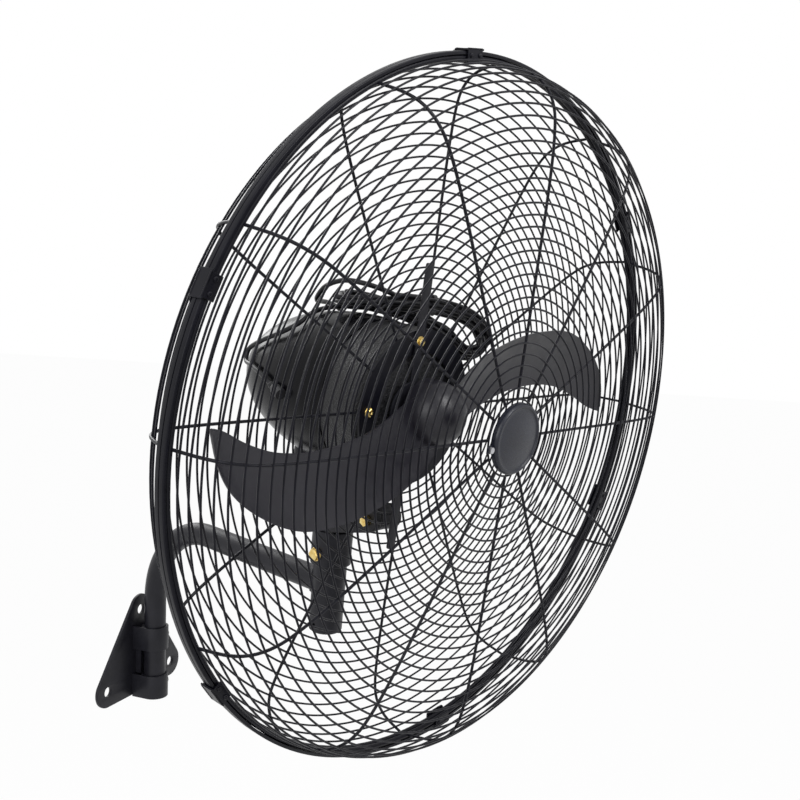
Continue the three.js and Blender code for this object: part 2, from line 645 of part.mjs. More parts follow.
function bladeStation(radius) {
  let i = 0;
  while (i < BLADE_STATIONS.length - 2 && BLADE_STATIONS[i + 1][0] < radius) i += 1;
  const [low, high] = [BLADE_STATIONS[i], BLADE_STATIONS[i + 1]];
  const t = (radius - low[0]) / (high[0] - low[0]);
  return low.map((value, k) => THREE.MathUtils.lerp(value, high[k], t));
}

// One curved sheet from root to tip, bent out of a fine slab, and trimmed round the hub.
function blade(turn) {
  const slab = new THREE.BoxGeometry(1, 1, 1, 12, 4, 1);
  const spots = slab.attributes.position;
  for (let i = 0; i < spots.count; i += 1) {
    const along = spots.getX(i) + 0.5;
    const across = spots.getY(i) + 0.5;
    const radius = BLADE_ROOT_R + (BLADE_TIP_R - BLADE_ROOT_R) * along;
    const [, lead, trail, leadY, trailY] = bladeStation(radius);
    const angle = rad(THREE.MathUtils.lerp(trail, lead, across) + turn);
    const camber = 7 * (1 - (2 * across - 1) ** 2) * (1 - 0.6 * along);
    const y = THREE.MathUtils.lerp(trailY, leadY, across) + camber + BLADE_THICK * spots.getZ(i);
    spots.setXYZ(i, -radius * Math.cos(angle), y, radius * Math.sin(angle));
  }
  return cut(slab, hubClearance());
}

function hubClearance() {
  const radius = HUB_R + 2 * GAP;
  return turned([...domeProfile(radius, -90, 0, 6), [radius, HUB_BACK_Y + 4], [0, HUB_BACK_Y + 4]], 18);
}

piece(fanFrame, 'motor_shaft', motorShaft(), steel());
piece(fanFrame, 'rotor',
  turned(ringProfile(SHAFT_R + GAP, ROTOR_R, STATOR_FRONT_Y + 1, STATOR_BACK_Y - 1), 16), steel());
piece(fanFrame, 'impeller_hub', impellerHub(), bladePaint());
piece(fanFrame, 'blade_left', blade(0), bladePaint());
piece(fanFrame, 'blade_right', blade(180), bladePaint());
piece(fanFrame, 'grub_screw',
  at(rodZ(GRUB_SCREW_R, SHAFT_R + GAP, HUB_BOSS_R - 1, 12), 0, GRUB_SCREW_Y, 0), steel());

// ---------------------------------------------------------------- wire guards

// A point at a share of the way along a profile of [radius, y] pairs.
function alongProfile(profile, share) {
  const lengths = profile.slice(1).map(([r, y], i) => Math.hypot(r - profile[i][0], y - profile[i][1]));
  let left = share * lengths.reduce((sum, length) => sum + length, 0);
  let i = 0;
  while (i < lengths.length - 1 && left > lengths[i]) {
    left -= lengths[i];
    i += 1;
  }
  const t = left / lengths[i];
  return [0, 1].map((k) => THREE.MathUtils.lerp(profile[i][k], profile[i + 1][k], t));
}

const ringWire = (radius, y, wire, segments = RING_SEGMENTS) =>
  new THREE.TorusGeometry(radius, wire, 3, segments).rotateX(Math.PI / 2).translate(0, y, 0);

// Radial wires along the profile, crossed by rings at even steps, with a ring at its outer end.
function wireGuard(profile, rings) {
  const knots = profile.map(([r, y]) => new THREE.Vector3(0, y, r));
  const wires = [];
  for (let i = 0; i < RIB_COUNT; i += 1) {
    wires.push(mitredTube(knots, RIB_WIRE / 2, 3).rotateY(2 * Math.PI * i / RIB_COUNT));
  }
  for (let i = 0; i <= rings; i += 1) {
    wires.push(ringWire(...alongProfile(profile, i / (rings + 1)), RING_WIRE_R));
  }
  return wires;
}

// The curved side of a guard, from the thick rim wire round to the edge of its face.
function guardWall(profile) {
  const [rimR, rimY] = profile[0];
  const rim = ringWire(rimR - 1, rimY, RIM_WIRE_R, RIM_SEGMENTS);
  return join(...wireGuard([...profile].reverse(), 0), rim);
}

function frontGuard() {
  const [eyeR, eyeY] = FRONT_FACE.at(-1);
  return join(...wireGuard(FRONT_FACE, 2), rodY(eyeR, eyeY - 1, eyeY + 1, 20));
}

// Where the four screws of the rear guard sit: top and bottom through the strap, left and right.
function screwSpot(geometry, turn) {
  const shift = turn % 180 === 0 ? STRAP_X : 0;
  return geometry.translate(0, 0, GUARD_SCREW_RADIUS).rotateY(rad(turn)).translate(shift, 0, 0);
}

function rearGuard() {
  const [eyeR, eyeY] = REAR_FACE.at(-1);
  const eye = turned(ringProfile(eyeR - 26, eyeR + 2, eyeY - 1.5, eyeY + 1.5), 24);
  const drill = (turn) => screwSpot(rodY(GUARD_SCREW_R + GAP, eyeY - 5, eyeY + 5, 8), turn);
  return cut(join(...wireGuard(REAR_FACE, 1), eye), ...[0, 90, 180, 270].map(drill));
}

// The strap across the motor's face that clamps the rear guard.
function guardStrap() {
  const bar = at(box(12, 3, 2 * STRAP_HALF), STRAP_X, STRAP_Y, 0);
  const eye = rodY(STRAP_EYE_R, STRAP_Y - 1.5, STRAP_Y + 1.5, 20);
  const drill = (turn) => screwSpot(rodY(GUARD_SCREW_R + GAP, STRAP_Y - 5, STRAP_Y + 5, 12), turn);
  return cut(join(bar, eye), rodY(20, STRAP_Y - 5, STRAP_Y + 5, 20), drill(0), drill(180));
}

// A screw whose head bears on a face at the given depth, threaded into the motor's bell.
function guardScrew(face, turn) {
  const front = face - GAP;
  const shank = rodY(GUARD_SCREW_R, front - 1, BELL_FRONT_Y - GAP, 10);
  return screwSpot(join(rodY(6.5, front - 4, front, 12), shank), turn);
}

function rimBand() {
  const [inner, outer, half] = [BAND_INNER_R, BAND_INNER_R + BAND_THICK, BAND_HALF];
  return at(turned([[inner, -half], [outer - 1.4, -half], [outer, 2.5 - half], [outer, half - 2.5],
    [outer - 1.4, half], [inner, half], [inner, -half]], RIM_SEGMENTS), 0, BAND_Y, 0);
}

// A clip astride the band: a bridge outside it, a leg down each face of the rim and a round ear.
function rimClip(angle) {
  const reach = BAND_HALF + GAP + CLIP_WALL;
  const top = BAND_INNER_R + BAND_THICK + GAP;
  const bridge = at(box(28, 2 * reach, 3), 0, 0, top + 1.5);
  const legs = [-1, 1].map((side) => at(box(24, CLIP_WALL, 16), 0, side * (reach - CLIP_WALL / 2), top - 5));
  const ear = at(rodY(6.5, reach - CLIP_WALL, reach, 14), -14, 0, top - 6);
  return at(join(bridge, ...legs, ear), 0, BAND_Y, 0).rotateY(rad(angle - 90));
}

const [strapFace, eyeFace] = [STRAP_Y - 1.5, REAR_FACE.at(-1)[1] - 1.5];
piece(fanFrame, 'rear_guard', rearGuard(), wirePaint());
piece(fanFrame, 'rear_guard_wall', guardWall(REAR_WALL), wirePaint());
piece(fanFrame, 'guard_strap', guardStrap(), satinBlack());
piece(fanFrame, 'guard_screw_top', guardScrew(strapFace, 0), brass());
piece(fanFrame, 'guard_screw_bottom', guardScrew(strapFace, 180), brass());
piece(fanFrame, 'guard_screw_left', guardScrew(eyeFace, 270), brass());
piece(fanFrame, 'guard_screw_right', guardScrew(eyeFace, 90), brass());
piece(fanFrame, 'rim_band', rimBand(), wirePaint());
piece(fanFrame, 'front_guard', frontGuard(), wirePaint());
piece(fanFrame, 'front_guard_wall', guardWall(FRONT_WALL), wirePaint());
CLIP_ANGLES.forEach((angle, i) => piece(fanFrame, `rim_clip_${i + 1}`, rimClip(angle), wirePaint()));

// ---------------------------------------------------------------- badge

function badge() {
  const disc = turned([[0, BADGE_Y - 9], [24, BADGE_Y - 8.2], [35, BADGE_Y - 6], [36, BADGE_Y - 7.5],
    [BADGE_R - 1, BADGE_Y - 6.5], [BADGE_R, BADGE_Y - 3], [BADGE_R, BADGE_Y], [0, BADGE_Y]], 22);
  return join(disc, at(box(12, 2.4, 9), -BADGE_R - 2, BADGE_Y - 2.2, BADGE_LUG_Z));
}

piece(fanFrame, 'badge', badge(), satinBlack());
piece(fanFrame, 'badge_screw',
  at(rodY(3.6, BADGE_Y - 6.4, BADGE_Y - 3.4 - GAP, 10), -BADGE_R - 4, 0, BADGE_LUG_Z), steel());

// ---------------------------------------------------------------- mains cord

// The bundle's outer loop, from the back of the motor's top, round the right-hand end and back.
const COIL_LOOP = [[28, 182, 101], [62, 142, 92], [92, 112, 70], [122, 98, 51], [150, 88, 58],
  [160, 82, 82], [128, 84, 106], [76, 96, 119], [24, 112, 122], [-22, 138, 118], [-44, 172, 112],
  [-20, 200, 106]];

// Where the cord goes between its gland in the tail cover's side and the bundle.
const TAIL_ROUTE = [[-98, 211, 1], [-94, 234, 8], [-83, 267, 13], [-71, 292, 15], [-67, 294, 27],
  [-71, 267, 44], [-72, 228, 63], [-62, 211, 77], [-46, 212, 87], [-28, 213, 93.5], [-6, 208, 98.5],
  [11, 197, 101]];

// The last stretch: one wide loop over the bundle's left end, then down behind the motor.
const END_ROUTE = [[-4, 117, 129], [-34, 127, 137], [-47, 157, 138], [-48, 188, 126], [-44, 204, 111],
  [-32, 215, 104], [-14, 228, 102], [10, 235, 99], [36, 240, 90], [60, 244, 75], [77, 247, 57]];

function coilPoints() {
  const loop = new THREE.CatmullRomCurve3(COIL_LOOP.map((p) => new THREE.Vector3(...p)), true);
  const rough = loop.getSpacedPoints(48).slice(0, -1);
  const normal = new THREE.Vector3();
  rough.forEach((p, i) => normal.add(p.clone().cross(rough[(i + 1) % rough.length])));
  normal.normalize();
  const upward = normal.clone().multiplyScalar(Math.sign(normal.z));
  const points = [];
  const half = COIL_TURNS / 2;
  for (let i = 0; i <= COIL_TURNS * COIL_STEPS; i += 1) {
    const turn = i / COIL_STEPS;
    const t = turn % 1;
    const tangent = loop.getTangentAt(t);
    const inward = normal.clone().cross(tangent).normalize();
    const depth = COIL_PITCH * (turn < half ? turn : COIL_TURNS - turn);
    const climb = COIL_PITCH * THREE.MathUtils.smoothstep(turn, half - 0.25, half + 0.25);
    points.push(loop.getPointAt(t).addScaledVector(inward, depth).addScaledVector(upward, climb));
  }
  return points;
}

// The least gap between stretches of the coil that are a third of a turn or more apart.
function leastGap(points) {
  let least = Infinity;
  points.forEach((p, i) => {
    for (let k = i + Math.round(COIL_STEPS / 3); k < points.length; k += 1) {
      least = Math.min(least, p.distanceTo(points[k]));
    }
  });
  return least - 2 * CORD_R;
}

// Both ends run on straight for one cord's width, where the next stretch meets them square.
function withStraightEnds(points) {
  const first = points[0].clone().sub(points[1]).setLength(2 * CORD_R);
  const last = points.at(-1).clone().sub(points.at(-2)).setLength(2 * CORD_R);
  return [points[0].clone().add(first), ...points, points.at(-1).clone().add(last)];
}

// Two points in line with a tube's end: one just off its face, one a little further on.
function meeting(end, inner) {
  const away = end.clone().sub(inner).normalize();
  return [GAP, 8].map((step) => end.clone().addScaledVector(away, step).toArray());
}

// A tapered sleeve where the cord leaves the tail cover, trimmed to the cover's skin.
function cordGland() {
  const [x, y, z] = TAIL_ROUTE[0];
  const along = new THREE.Vector3(...TAIL_ROUTE[1]).sub(new THREE.Vector3(x, y, z)).normalize();
  const length = 30;
  const sleeve = turned([[0, -length], [7.5, -length], [7, -12], [5.6, -10], [5.2, -6], [4.4, -GAP],
    [0, -GAP]], 16);
  const turnTo = new THREE.Quaternion().setFromUnitVectors(new THREE.Vector3(0, 1, 0), along);
  sleeve.applyQuaternion(turnTo);
  const skin = coverSkin(-2 * GAP);
  return cut(at(sleeve, x, y, z), turned([[0, BELL_BACK_Y], ...skin], 28));
}

// A moulded three-pin plug on the cord's end, with its pins pointing on along the cord.
function plugPieces(end, inner) {
  const along = end.clone().sub(inner).normalize();
  const turnTo = new THREE.Quaternion().setFromUnitVectors(new THREE.Vector3(0, 1, 0), along);
  const neck = turned([[0, GAP], [5, GAP], [7.5, 12], [9, 14], [9, 17], [0, 17]], 14);
  const body = at(box(25, 20, 22), 0, 26, 0);
  const face = at(box(30, 6, 27), 0, 38.5, 0);
  const place = (geometry) => geometry.applyQuaternion(turnTo).translate(end.x, end.y, end.z);
  const pin = (x, z, angle) => place(at(box(1.6, 17, 6.3).rotateY(rad(angle)), x, 41.5 + GAP + 8.5, z));
  return { body: place(join(neck, body, face)), pins: [pin(-6, 4, 30), pin(6, 4, -30), pin(0, -6, 0)] };
}

// A cable tie round all the strands of the bundle's top run, where each turn passes the same spot.
function cordTie(points) {
  const strands = [];
  for (let i = TIE_STEP; i < points.length; i += COIL_STEPS) strands.push(points[i]);
  const tangent = points[TIE_STEP + 1].clone().sub(points[TIE_STEP - 1]).normalize();
  const inward = strands[1].clone().sub(strands[0]);
  inward.addScaledVector(tangent, -inward.dot(tangent)).normalize();
  const upward = tangent.clone().cross(inward);
  const span = (axis) => {
    const along = strands.map((p) => p.clone().sub(strands[0]).dot(axis));
    const [low, high] = [Math.min(...along), Math.max(...along)];
    return { middle: (low + high) / 2, half: (high - low) / 2 + CORD_R + TIE_SLACK };
  };
  const [wide, high] = [span(inward), span(upward)];
  const loop = (grow) => [[1, 1, 0], [-1, 1, 90], [-1, -1, 180], [1, -1, 270]].flatMap(([u, v, from]) =>
    arcPoints(u * (wide.half - CORD_R), v * (high.half - CORD_R), CORD_R + grow, from, from + 90, 3))
    .map(([u, v]) => new THREE.Vector2(u, v));
  const shape = new THREE.Shape(loop(TIE_THICK));
  shape.holes.push(new THREE.Path(loop(0).reverse()));
  const strap = new THREE.ExtrudeGeometry(shape, { depth: TIE_WIDE, bevelEnabled: false });
  const tie = join(at(strap, 0, 0, -TIE_WIDE / 2), at(box(8, 6, 7), 0, high.half + 3, 0));
  const spot = strands[0].clone().addScaledVector(inward, wide.middle).addScaledVector(upward, high.middle);
  return tie.applyMatrix4(new THREE.Matrix4().makeBasis(inward, upward, tangent).setPosition(spot));
}

const turns = coilPoints();
console.log(`cord coil: least gap to itself ${leastGap(turns).toFixed(2)} mm`);
const coil = withStraightEnds(turns);
const tail = [...TAIL_ROUTE, ...meeting(coil[0], coil[1]).reverse()];
const end = [...meeting(coil.at(-1), coil.at(-2)), ...END_ROUTE];
const toPoint = (values) => new THREE.Vector3(...values);

piece(fanFrame, 'cord_gland', cordGland(), crinkleBlack());
piece(fanFrame, 'cord_tail', sweep(tail, CORD_R, 8, 20), cordRubber());
piece(fanFrame, 'cord_coil', sweep(coil.map((p) => p.toArray()), CORD_R, 6, coil.length - 1), cordRubber());
piece(fanFrame, 'cord_tie', cordTie(turns), cordRubber());
piece(fanFrame, 'cord_end', sweep(end, CORD_R, 8, 22), cordRubber());

const plug = plugPieces(toPoint(end.at(-1)), toPoint(end.at(-2)));
piece(fanFrame, 'plug', plug.body, cordRubber());
plug.pins.forEach((pin, i) => piece(fanFrame, `plug_pin_${i + 1}`, pin, brass()));

export default group;
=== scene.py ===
"""Wall mounted fan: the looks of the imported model, piece by piece.

Shapes are written in millimetres, in the same four frames as the CAD source, and placed by them.
"""

from math import acos, atan2, cos, degrees, pi, radians, sin, sqrt

import bmesh
import bpy
from mathutils import Matrix, Vector


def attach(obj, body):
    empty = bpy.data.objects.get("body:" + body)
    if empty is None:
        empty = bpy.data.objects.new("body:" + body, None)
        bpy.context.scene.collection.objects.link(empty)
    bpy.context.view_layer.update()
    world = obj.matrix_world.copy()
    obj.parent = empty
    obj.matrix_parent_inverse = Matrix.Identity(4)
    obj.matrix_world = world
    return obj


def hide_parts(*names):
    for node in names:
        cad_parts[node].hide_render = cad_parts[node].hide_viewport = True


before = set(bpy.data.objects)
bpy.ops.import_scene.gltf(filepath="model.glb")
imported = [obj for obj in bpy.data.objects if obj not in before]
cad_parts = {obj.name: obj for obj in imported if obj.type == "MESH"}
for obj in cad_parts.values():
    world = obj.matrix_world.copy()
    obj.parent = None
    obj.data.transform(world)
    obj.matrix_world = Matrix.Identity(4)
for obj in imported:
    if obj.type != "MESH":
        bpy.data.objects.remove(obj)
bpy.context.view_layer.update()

# ---------------------------------------------------------------- driving dimensions, as in the CAD

MM = 0.001
GAP = 0.3

PLATE_THICK = 5
PLATE_CORNER_R = 24
HOLE_R = 7.5
HOLE_HALF_SPAN = 78
HOLE_RISE = 54
PIPE_R = 16.5
PIPE_WALL = 2.2
PIPE_AXIS_Y = -32
COLLAR_OUTER_R = 20.5
COLLAR_HEIGHT = 36
COLLAR_BOLT_R = 4.5
UPPER_COLLAR_Z = -4
LOWER_COLLAR_Z = -80

PIPE_BOTTOM_Z = -73
BEND_START_Z = 76
BEND_R = 120
ARM_DROOP = 4.4
ARM_REACH = 378
ARM_SWING = -18
PIPE_END_BACK = 10

SLEEVE_Z = 176.5
SLEEVE_R = 22
SLEEVE_BORE_R = 17.6
SLEEVE_BOTTOM = -62
SLEEVE_TOP = 74
BAND_R = 26.5
BAND_BOTTOM = 28
LOCK_BOLT_Z = 44
LOCK_HOLE_R = 5.3
PIN_HOLE_R = 2.4

RIM_Y = -576
RIM_Z = 410
NOSE_DOWN = 8

BELL_FRONT_Y = 64.4
BELL_BACK_Y = 125
BELL_R = 96
BELL_WALL = 4
COVER_R = 98
COVER_CENTRE_Y = 150
COVER_LENGTH = 190
COVER_WALL = 2
SHAFT_R = 7
CRANK_Y = 238

HUB_R = 40
HUB_WALL = 5
HUB_DOME_Y = 32
HUB_BACK_Y = 48
HUB_BOSS_R = 16
HUB_BORE_FRONT_Y = -2
GRUB_SCREW_R = 3
GRUB_SCREW_Y = 40
BLADE_TIP_R = 346
BLADE_THICK = 2.6

RIB_COUNT = 12
RIB_WIRE = 3.4
RING_WIRE = 2.3
RING_PITCH = 12.6
RIB_STEPS = 60
RIB_SINK = 1.4
REAR_EYE_WIDE = 26
FRONT_PROFILE = [(400, 0.8), (390, -36), (379, -55), (360, -69), (325, -77), (44, -83)]
REAR_PROFILE = [(400, 7.2), (389, 40), (376, 54), (356, 61), (94, 62)]
STRAP_Y = 58.2
STRAP_X = -13
STRAP_HALF = 174
STRAP_HALF_WIDE = 6
STRAP_EYE_R = 34
STRAP_BORE_R = 20
STRAP_THICK = 3
GUARD_SCREW_RADIUS = 82
GUARD_SCREW_R = 2.9
BADGE_R = 41
BADGE_Y = -84.4
BADGE_LUG_Z = -9
RIM_WIRE_R = 3
BAND_INNER_R = 402.4
BAND_THICK = 3.6
BAND_HALF = 6.5
BAND_Y = 4
CLIP_WALL = 1.8
CLIP_RIVET_X = 7
CLIP_ANGLES = (21, 81, 141, 201, 261, 321)

CORD_DIAMETER = 6.2
COIL_TURNS = 5.67
COIL_PITCH = 7.1
COIL_STEPS = 24

# ---------------------------------------------------------------- frames


def frame_at(x, y, z, angle, axis):
    """A frame at a point in millimetres, turned by an angle in degrees about one axis."""
    return Matrix.Translation(Vector((x, y, z)) * MM) @ Matrix.Rotation(radians(angle), 4, axis)


WALL = Matrix.Identity(4)
ARM = frame_at(0, PIPE_AXIS_Y, 0, ARM_SWING, "Z")
SLEEVE = ARM @ frame_at(0, -ARM_REACH, SLEEVE_Z, ARM_DROOP, "X")
FAN = ARM @ frame_at(0, RIM_Y, RIM_Z, NOSE_DOWN, "X")

# ---------------------------------------------------------------- camera

# Place and axes in the fan's frame, fitted to points of the guard's rim and ribs in the photograph.
CAMERA_PLACE = (-937.3, -706.8, 232.2)
CAMERA_RIGHT = (0.65884, -0.73996, 0.13560)
CAMERA_DOWN = (-0.04885, -0.22195, -0.97383)
LENS_MM = 46.37
SENSOR_MM = 36


def make_camera():
    camera = bpy.data.objects.new("camera", bpy.data.cameras.new("camera"))
    bpy.context.scene.collection.objects.link(camera)
    right = Vector(CAMERA_RIGHT).normalized()
    back = right.cross(-Vector(CAMERA_DOWN)).normalized()
    axes = Matrix((right, back.cross(right), back)).transposed().to_4x4()
    camera.matrix_world = FAN @ Matrix.Translation(Vector(CAMERA_PLACE) * MM) @ axes
    camera.data.lens = LENS_MM
    camera.data.sensor_width = SENSOR_MM
    bpy.context.scene.camera = camera


make_camera()

# ---------------------------------------------------------------- curves


def catmull(points, per_span, closed=False):
    """Points of the centripetal Catmull-Rom curve through the given ones."""
    points = [Vector(p) for p in points]
    count = len(points)
    result = []
    for i in range(count if closed else count - 1):
        start, end = points[i], points[(i + 1) % count]
        before = points[i - 1] if closed or i else 2 * start - end
        after = points[(i + 2) % count] if closed or i + 2 < count else 2 * end - start
        d0, d1, d2 = (sqrt((b - a).length) for a, b in ((before, start), (start, end), (end, after)))
        out = ((start - before) / d0 - (end - before) / (d0 + d1) + (end - start) / d1) * d1
        into = ((end - start) / d1 - (after - start) / (d1 + d2) + (after - end) / d2) * d1
        for k in range(per_span):
            t = k / per_span
            result.append((2 * t**3 - 3 * t**2 + 1) * start + (t**3 - 2 * t**2 + t) * out
                          + (3 * t**2 - 2 * t**3) * end + (t**3 - t**2) * into)
    if not closed:
        result.append(points[-1])
    return result


class Line:
    """A polyline that gives its point and direction at any share of its length."""

    def __init__(self, points, closed=False):
        self.points = list(points) + ([points[0]] if closed else [])
        self.reach = [0.0]
        for a, b in zip(self.points, self.points[1:]):
            self.reach.append(self.reach[-1] + (b - a).length)
        self.length = self.reach[-1]

    def at(self, share):
        wanted = share * self.length
        low, high = 0, len(self.points) - 1
        while high - low > 1:
            middle = (low + high) // 2
            low, high = (middle, high) if self.reach[middle] <= wanted else (low, middle)
        start, end = self.points[low], self.points[high]
        t = (wanted - self.reach[low]) / (self.reach[high] - self.reach[low])
        return start.lerp(end, t), (end - start).normalized()


def arc(u, v, radius, start, end, steps):
    """Points of a circle's arc in degrees, as (u, v) pairs."""
    angles = [radians(start + (end - start) * i / steps) for i in range(steps + 1)]
    return [(u + radius * cos(a), v + radius * sin(a)) for a in angles]


# ---------------------------------------------------------------- shapes: (corners, faces) in mm


def lathe(profile, steps=96):
    """A profile of (radius, y) pairs turned about Y. It closes on the axis or on itself."""
    looped = profile[0] == profile[-1]
    corners, rings, faces = [], [], []
    for radius, y in profile[:-1] if looped else profile:
        if radius == 0:
            rings.append([len(corners)] * steps)
            corners.append(Vector((0, y, 0)))
        else:
            rings.append(range(len(corners), len(corners) + steps))
            corners += [Vector((u, y, v)) for u, v in arc(0, 0, radius, 0, 360, steps)[:-1]]
    pairs = list(zip(rings, rings[1:])) + ([(rings[-1], rings[0])] if looped else [])
    for a, b in pairs:
        for i in range(steps):
            k = (i + 1) % steps
            face = list(dict.fromkeys((a[i], b[i], b[k], a[k])))
            if len(face) > 2:
                faces.append(face)
    return corners, faces


def rod(radius, low, high, chamfer=0.4, steps=48):
    return lathe([(0, low), (radius - chamfer, low), (radius, low + chamfer), (radius, high - chamfer),
                  (radius - chamfer, high), (0, high)], steps)


def tube(points, radius, sides=10, closed=False):
    """A round wire along points, with the least twist. Its ends are flat where it isn't closed."""
    points = [Vector(p) for p in points]
    count = len(points)
    corners, faces = [], []
    across = None
    for i, point in enumerate(points):
        before = points[i - 1] if closed or i else point
        after = points[(i + 1) % count] if closed or i + 1 < count else point
        along = (after - before).normalized()
        across = along.orthogonal() if across is None else across
        across = (across - along * across.dot(along)).normalized()
        other = along.cross(across)
        corners += [point + across * u + other * v for u, v in arc(0, 0, radius, 0, 360, sides)[:-1]]
    for i in range(count if closed else count - 1):
        a, b = i * sides, (i + 1) % count * sides
        faces += [[a + k, a + (k + 1) % sides, b + (k + 1) % sides, b + k] for k in range(sides)]
    if not closed:
        faces += [list(range(sides)), list(range((count - 1) * sides, count * sides))]
    return corners, faces


def ring(radius, y, wire, sides=8, steps=180):
    circle = [(u, y, v) for u, v in arc(0, 0, radius, 0, 360, steps)[:-1]]
    return tube(circle, wire, sides, closed=True)


def loft(rows):
    """A closed skin over rows of equal length, each row a closed outline, with flat ends."""
    count = len(rows[0])
    corners = [Vector(p) for row in rows for p in row]
    faces = []
    for i in range(len(rows) - 1):
        a, b = i * count, (i + 1) * count
        faces += [[a + k, a + (k + 1) % count, b + (k + 1) % count, b + k] for k in range(count)]
    faces += [list(range(count)), list(range(len(corners) - count, len(corners)))]
    return corners, faces


def block(size, middle=(0, 0, 0)):
    """A plain box, for a cutter or for a piece that gets its rounded edges from a modifier."""
    x, y, z = (side / 2 for side in size)
    rows = [[(-x, -y, h), (x, -y, h), (x, y, h), (-x, y, h)] for h in (-z, z)]
    return moved(loft(rows), Matrix.Translation(middle))


def moved(shape, matrix):
    corners, faces = shape
    return [matrix @ corner for corner in corners], faces


def joined(*shapes):
    corners, faces = [], []
    for more_corners, more_faces in shapes:
        faces += [[i + len(corners) for i in face] for face in more_faces]
        corners += more_corners
    return corners, faces


TO_X = Matrix.Rotation(-pi / 2, 4, "Z")
TO_Z = Matrix.Rotation(pi / 2, 4, "X")


def shift(x=0, y=0, z=0):
    return Matrix.Translation((x, y, z))


def spin(angle):
    """A turn about the fan's own axis, in degrees, clockwise from the left as seen from the front."""
    return Matrix.Rotation(radians(angle), 4, "Y")


def plate(outline, thick, holes=(), edge=0.6):
    """A flat sheet from y = 0 to -thick, of (x, z) outlines, with rounded edges."""
    curve = bpy.data.curves.new("plate", "CURVE")
    curve.dimensions = "2D"
    curve.fill_mode = "BOTH"
    curve.extrude = thick / 2 - edge
    curve.bevel_depth = edge
    curve.offset = -edge
    curve.bevel_resolution = 2
    for points in (outline, *holes):
        spline = curve.splines.new("POLY")
        spline.points.add(len(points) - 1)
        for point, (x, z) in zip(spline.points, points):
            point.co = (x, z, 0, 1)
        spline.use_cyclic_u = True
    holder = bpy.data.objects.new("plate", curve)
    bpy.context.scene.collection.objects.link(holder)
    mesh = bpy.data.meshes.new_from_object(holder.evaluated_get(bpy.context.evaluated_depsgraph_get()))
    bpy.data.objects.remove(holder)
    bpy.data.curves.remove(curve)
    stand = shift(y=-thick / 2) @ TO_Z
    shape = [stand @ v.co for v in mesh.vertices], [list(p.vertices) for p in mesh.polygons]
    bpy.data.meshes.remove(mesh)
    return shape


# ---------------------------------------------------------------- pieces


def new_object(name, shape, place):
    """A mesh object of a shape in the given frame, merged and with its faces turned out."""
    corners, faces = shape
    mesh = bpy.data.meshes.new(name)
    mesh.from_pydata([place @ (corner * MM) for corner in corners], [], faces)
    bm = bmesh.new()
    bm.from_mesh(mesh)
    bmesh.ops.remove_doubles(bm, verts=bm.verts, dist=1e-6)
    bmesh.ops.recalc_face_normals(bm, faces=bm.faces)
    bm.to_mesh(mesh)
    bm.free()
    obj = bpy.data.objects.new(name, mesh)
    bpy.context.scene.collection.objects.link(obj)
    return obj


def apply_modifiers(obj):
    bpy.context.view_layer.update()
    mesh = bpy.data.meshes.new_from_object(obj.evaluated_get(bpy.context.evaluated_depsgraph_get()))
    obj.modifiers.clear()
    obj.data = mesh


def cut_away(obj, place, *shapes):
    """Cuts closed shapes, given in a frame, out of an object."""
    for shape in shapes:
        tool = new_object("tool", shape, place)
        cutter = obj.modifiers.new("cut", "BOOLEAN")
        cutter.operation = "DIFFERENCE"
        cutter.solver = "EXACT"
        cutter.object = tool
        apply_modifiers(obj)
        bpy.data.objects.remove(tool)
    return obj


def smooth(obj, angle=35):
    """Smooth faces, with a sharp edge wherever two of them meet at more than the angle."""
    for face in obj.data.polygons:
        face.use_smooth = True
    obj.data.set_sharp_from_angle(angle=radians(angle))


def soften(obj, width, segments=3, angle=35):
    """Rounded edges."""
    bevel = obj.modifiers.new("edges", "BEVEL")
    bevel.width = width * MM
    bevel.segments = segments
    bevel.angle_limit = radians(angle)
    bevel.harden_normals = False
    return obj


def finished(obj, material, body, replaces=(), angle=35):
    """Gives a piece its surface, joins it to its body and hides the CAD nodes that it replaces."""
    smooth(obj, angle)
    obj.data.materials.clear()
    obj.data.materials.append(material)
    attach(obj, body)
    if replaces:
        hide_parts(*replaces)
    return obj


def piece(name, shape, place, material, body, replaces=(), angle=35):
    return finished(new_object(name, shape, place), material, body, replaces, angle)

# ---------------------------------------------------------------- mains cord, before everything else

# The bundle's outer loop, from the back of the motor's top, round its right-hand end and back.
COIL_LOOP = [(28, 182, 101), (62, 142, 92), (92, 112, 70), (122, 98, 51), (150, 88, 58),
             (160, 82, 82), (128, 84, 106), (76, 96, 119), (24, 112, 122), (-22, 138, 118),
             (-44, 172, 112), (-20, 200, 106)]
COIL_LOOP_STEPS = 30
COIL_NORMAL_STEPS = 48
# From the gland in the tail cover's side to the bundle.
TAIL_ROUTE = [(-98, 211, 1), (-94, 234, 8), (-83, 267, 13), (-71, 292, 15), (-67, 294, 27),
              (-71, 267, 44), (-72, 228, 63), (-62, 211, 77), (-46, 212, 87), (-28, 213, 93.5),
              (-6, 208, 98.5), (11, 197, 101)]
# The last stretch: one wide loop over the bundle's left end, then down behind the motor.
END_ROUTE = [(-4, 117, 129), (-34, 127, 137), (-47, 157, 138), (-48, 188, 126), (-44, 204, 111),
             (-32, 215, 104), (-14, 228, 102), (10, 235, 99), (36, 240, 90), (60, 244, 75),
             (77, 247, 57)]
RUN_IN = 8
ROUTE_STEPS = 8
COIL_SMOOTHING = 3
TIE_STEP = 14


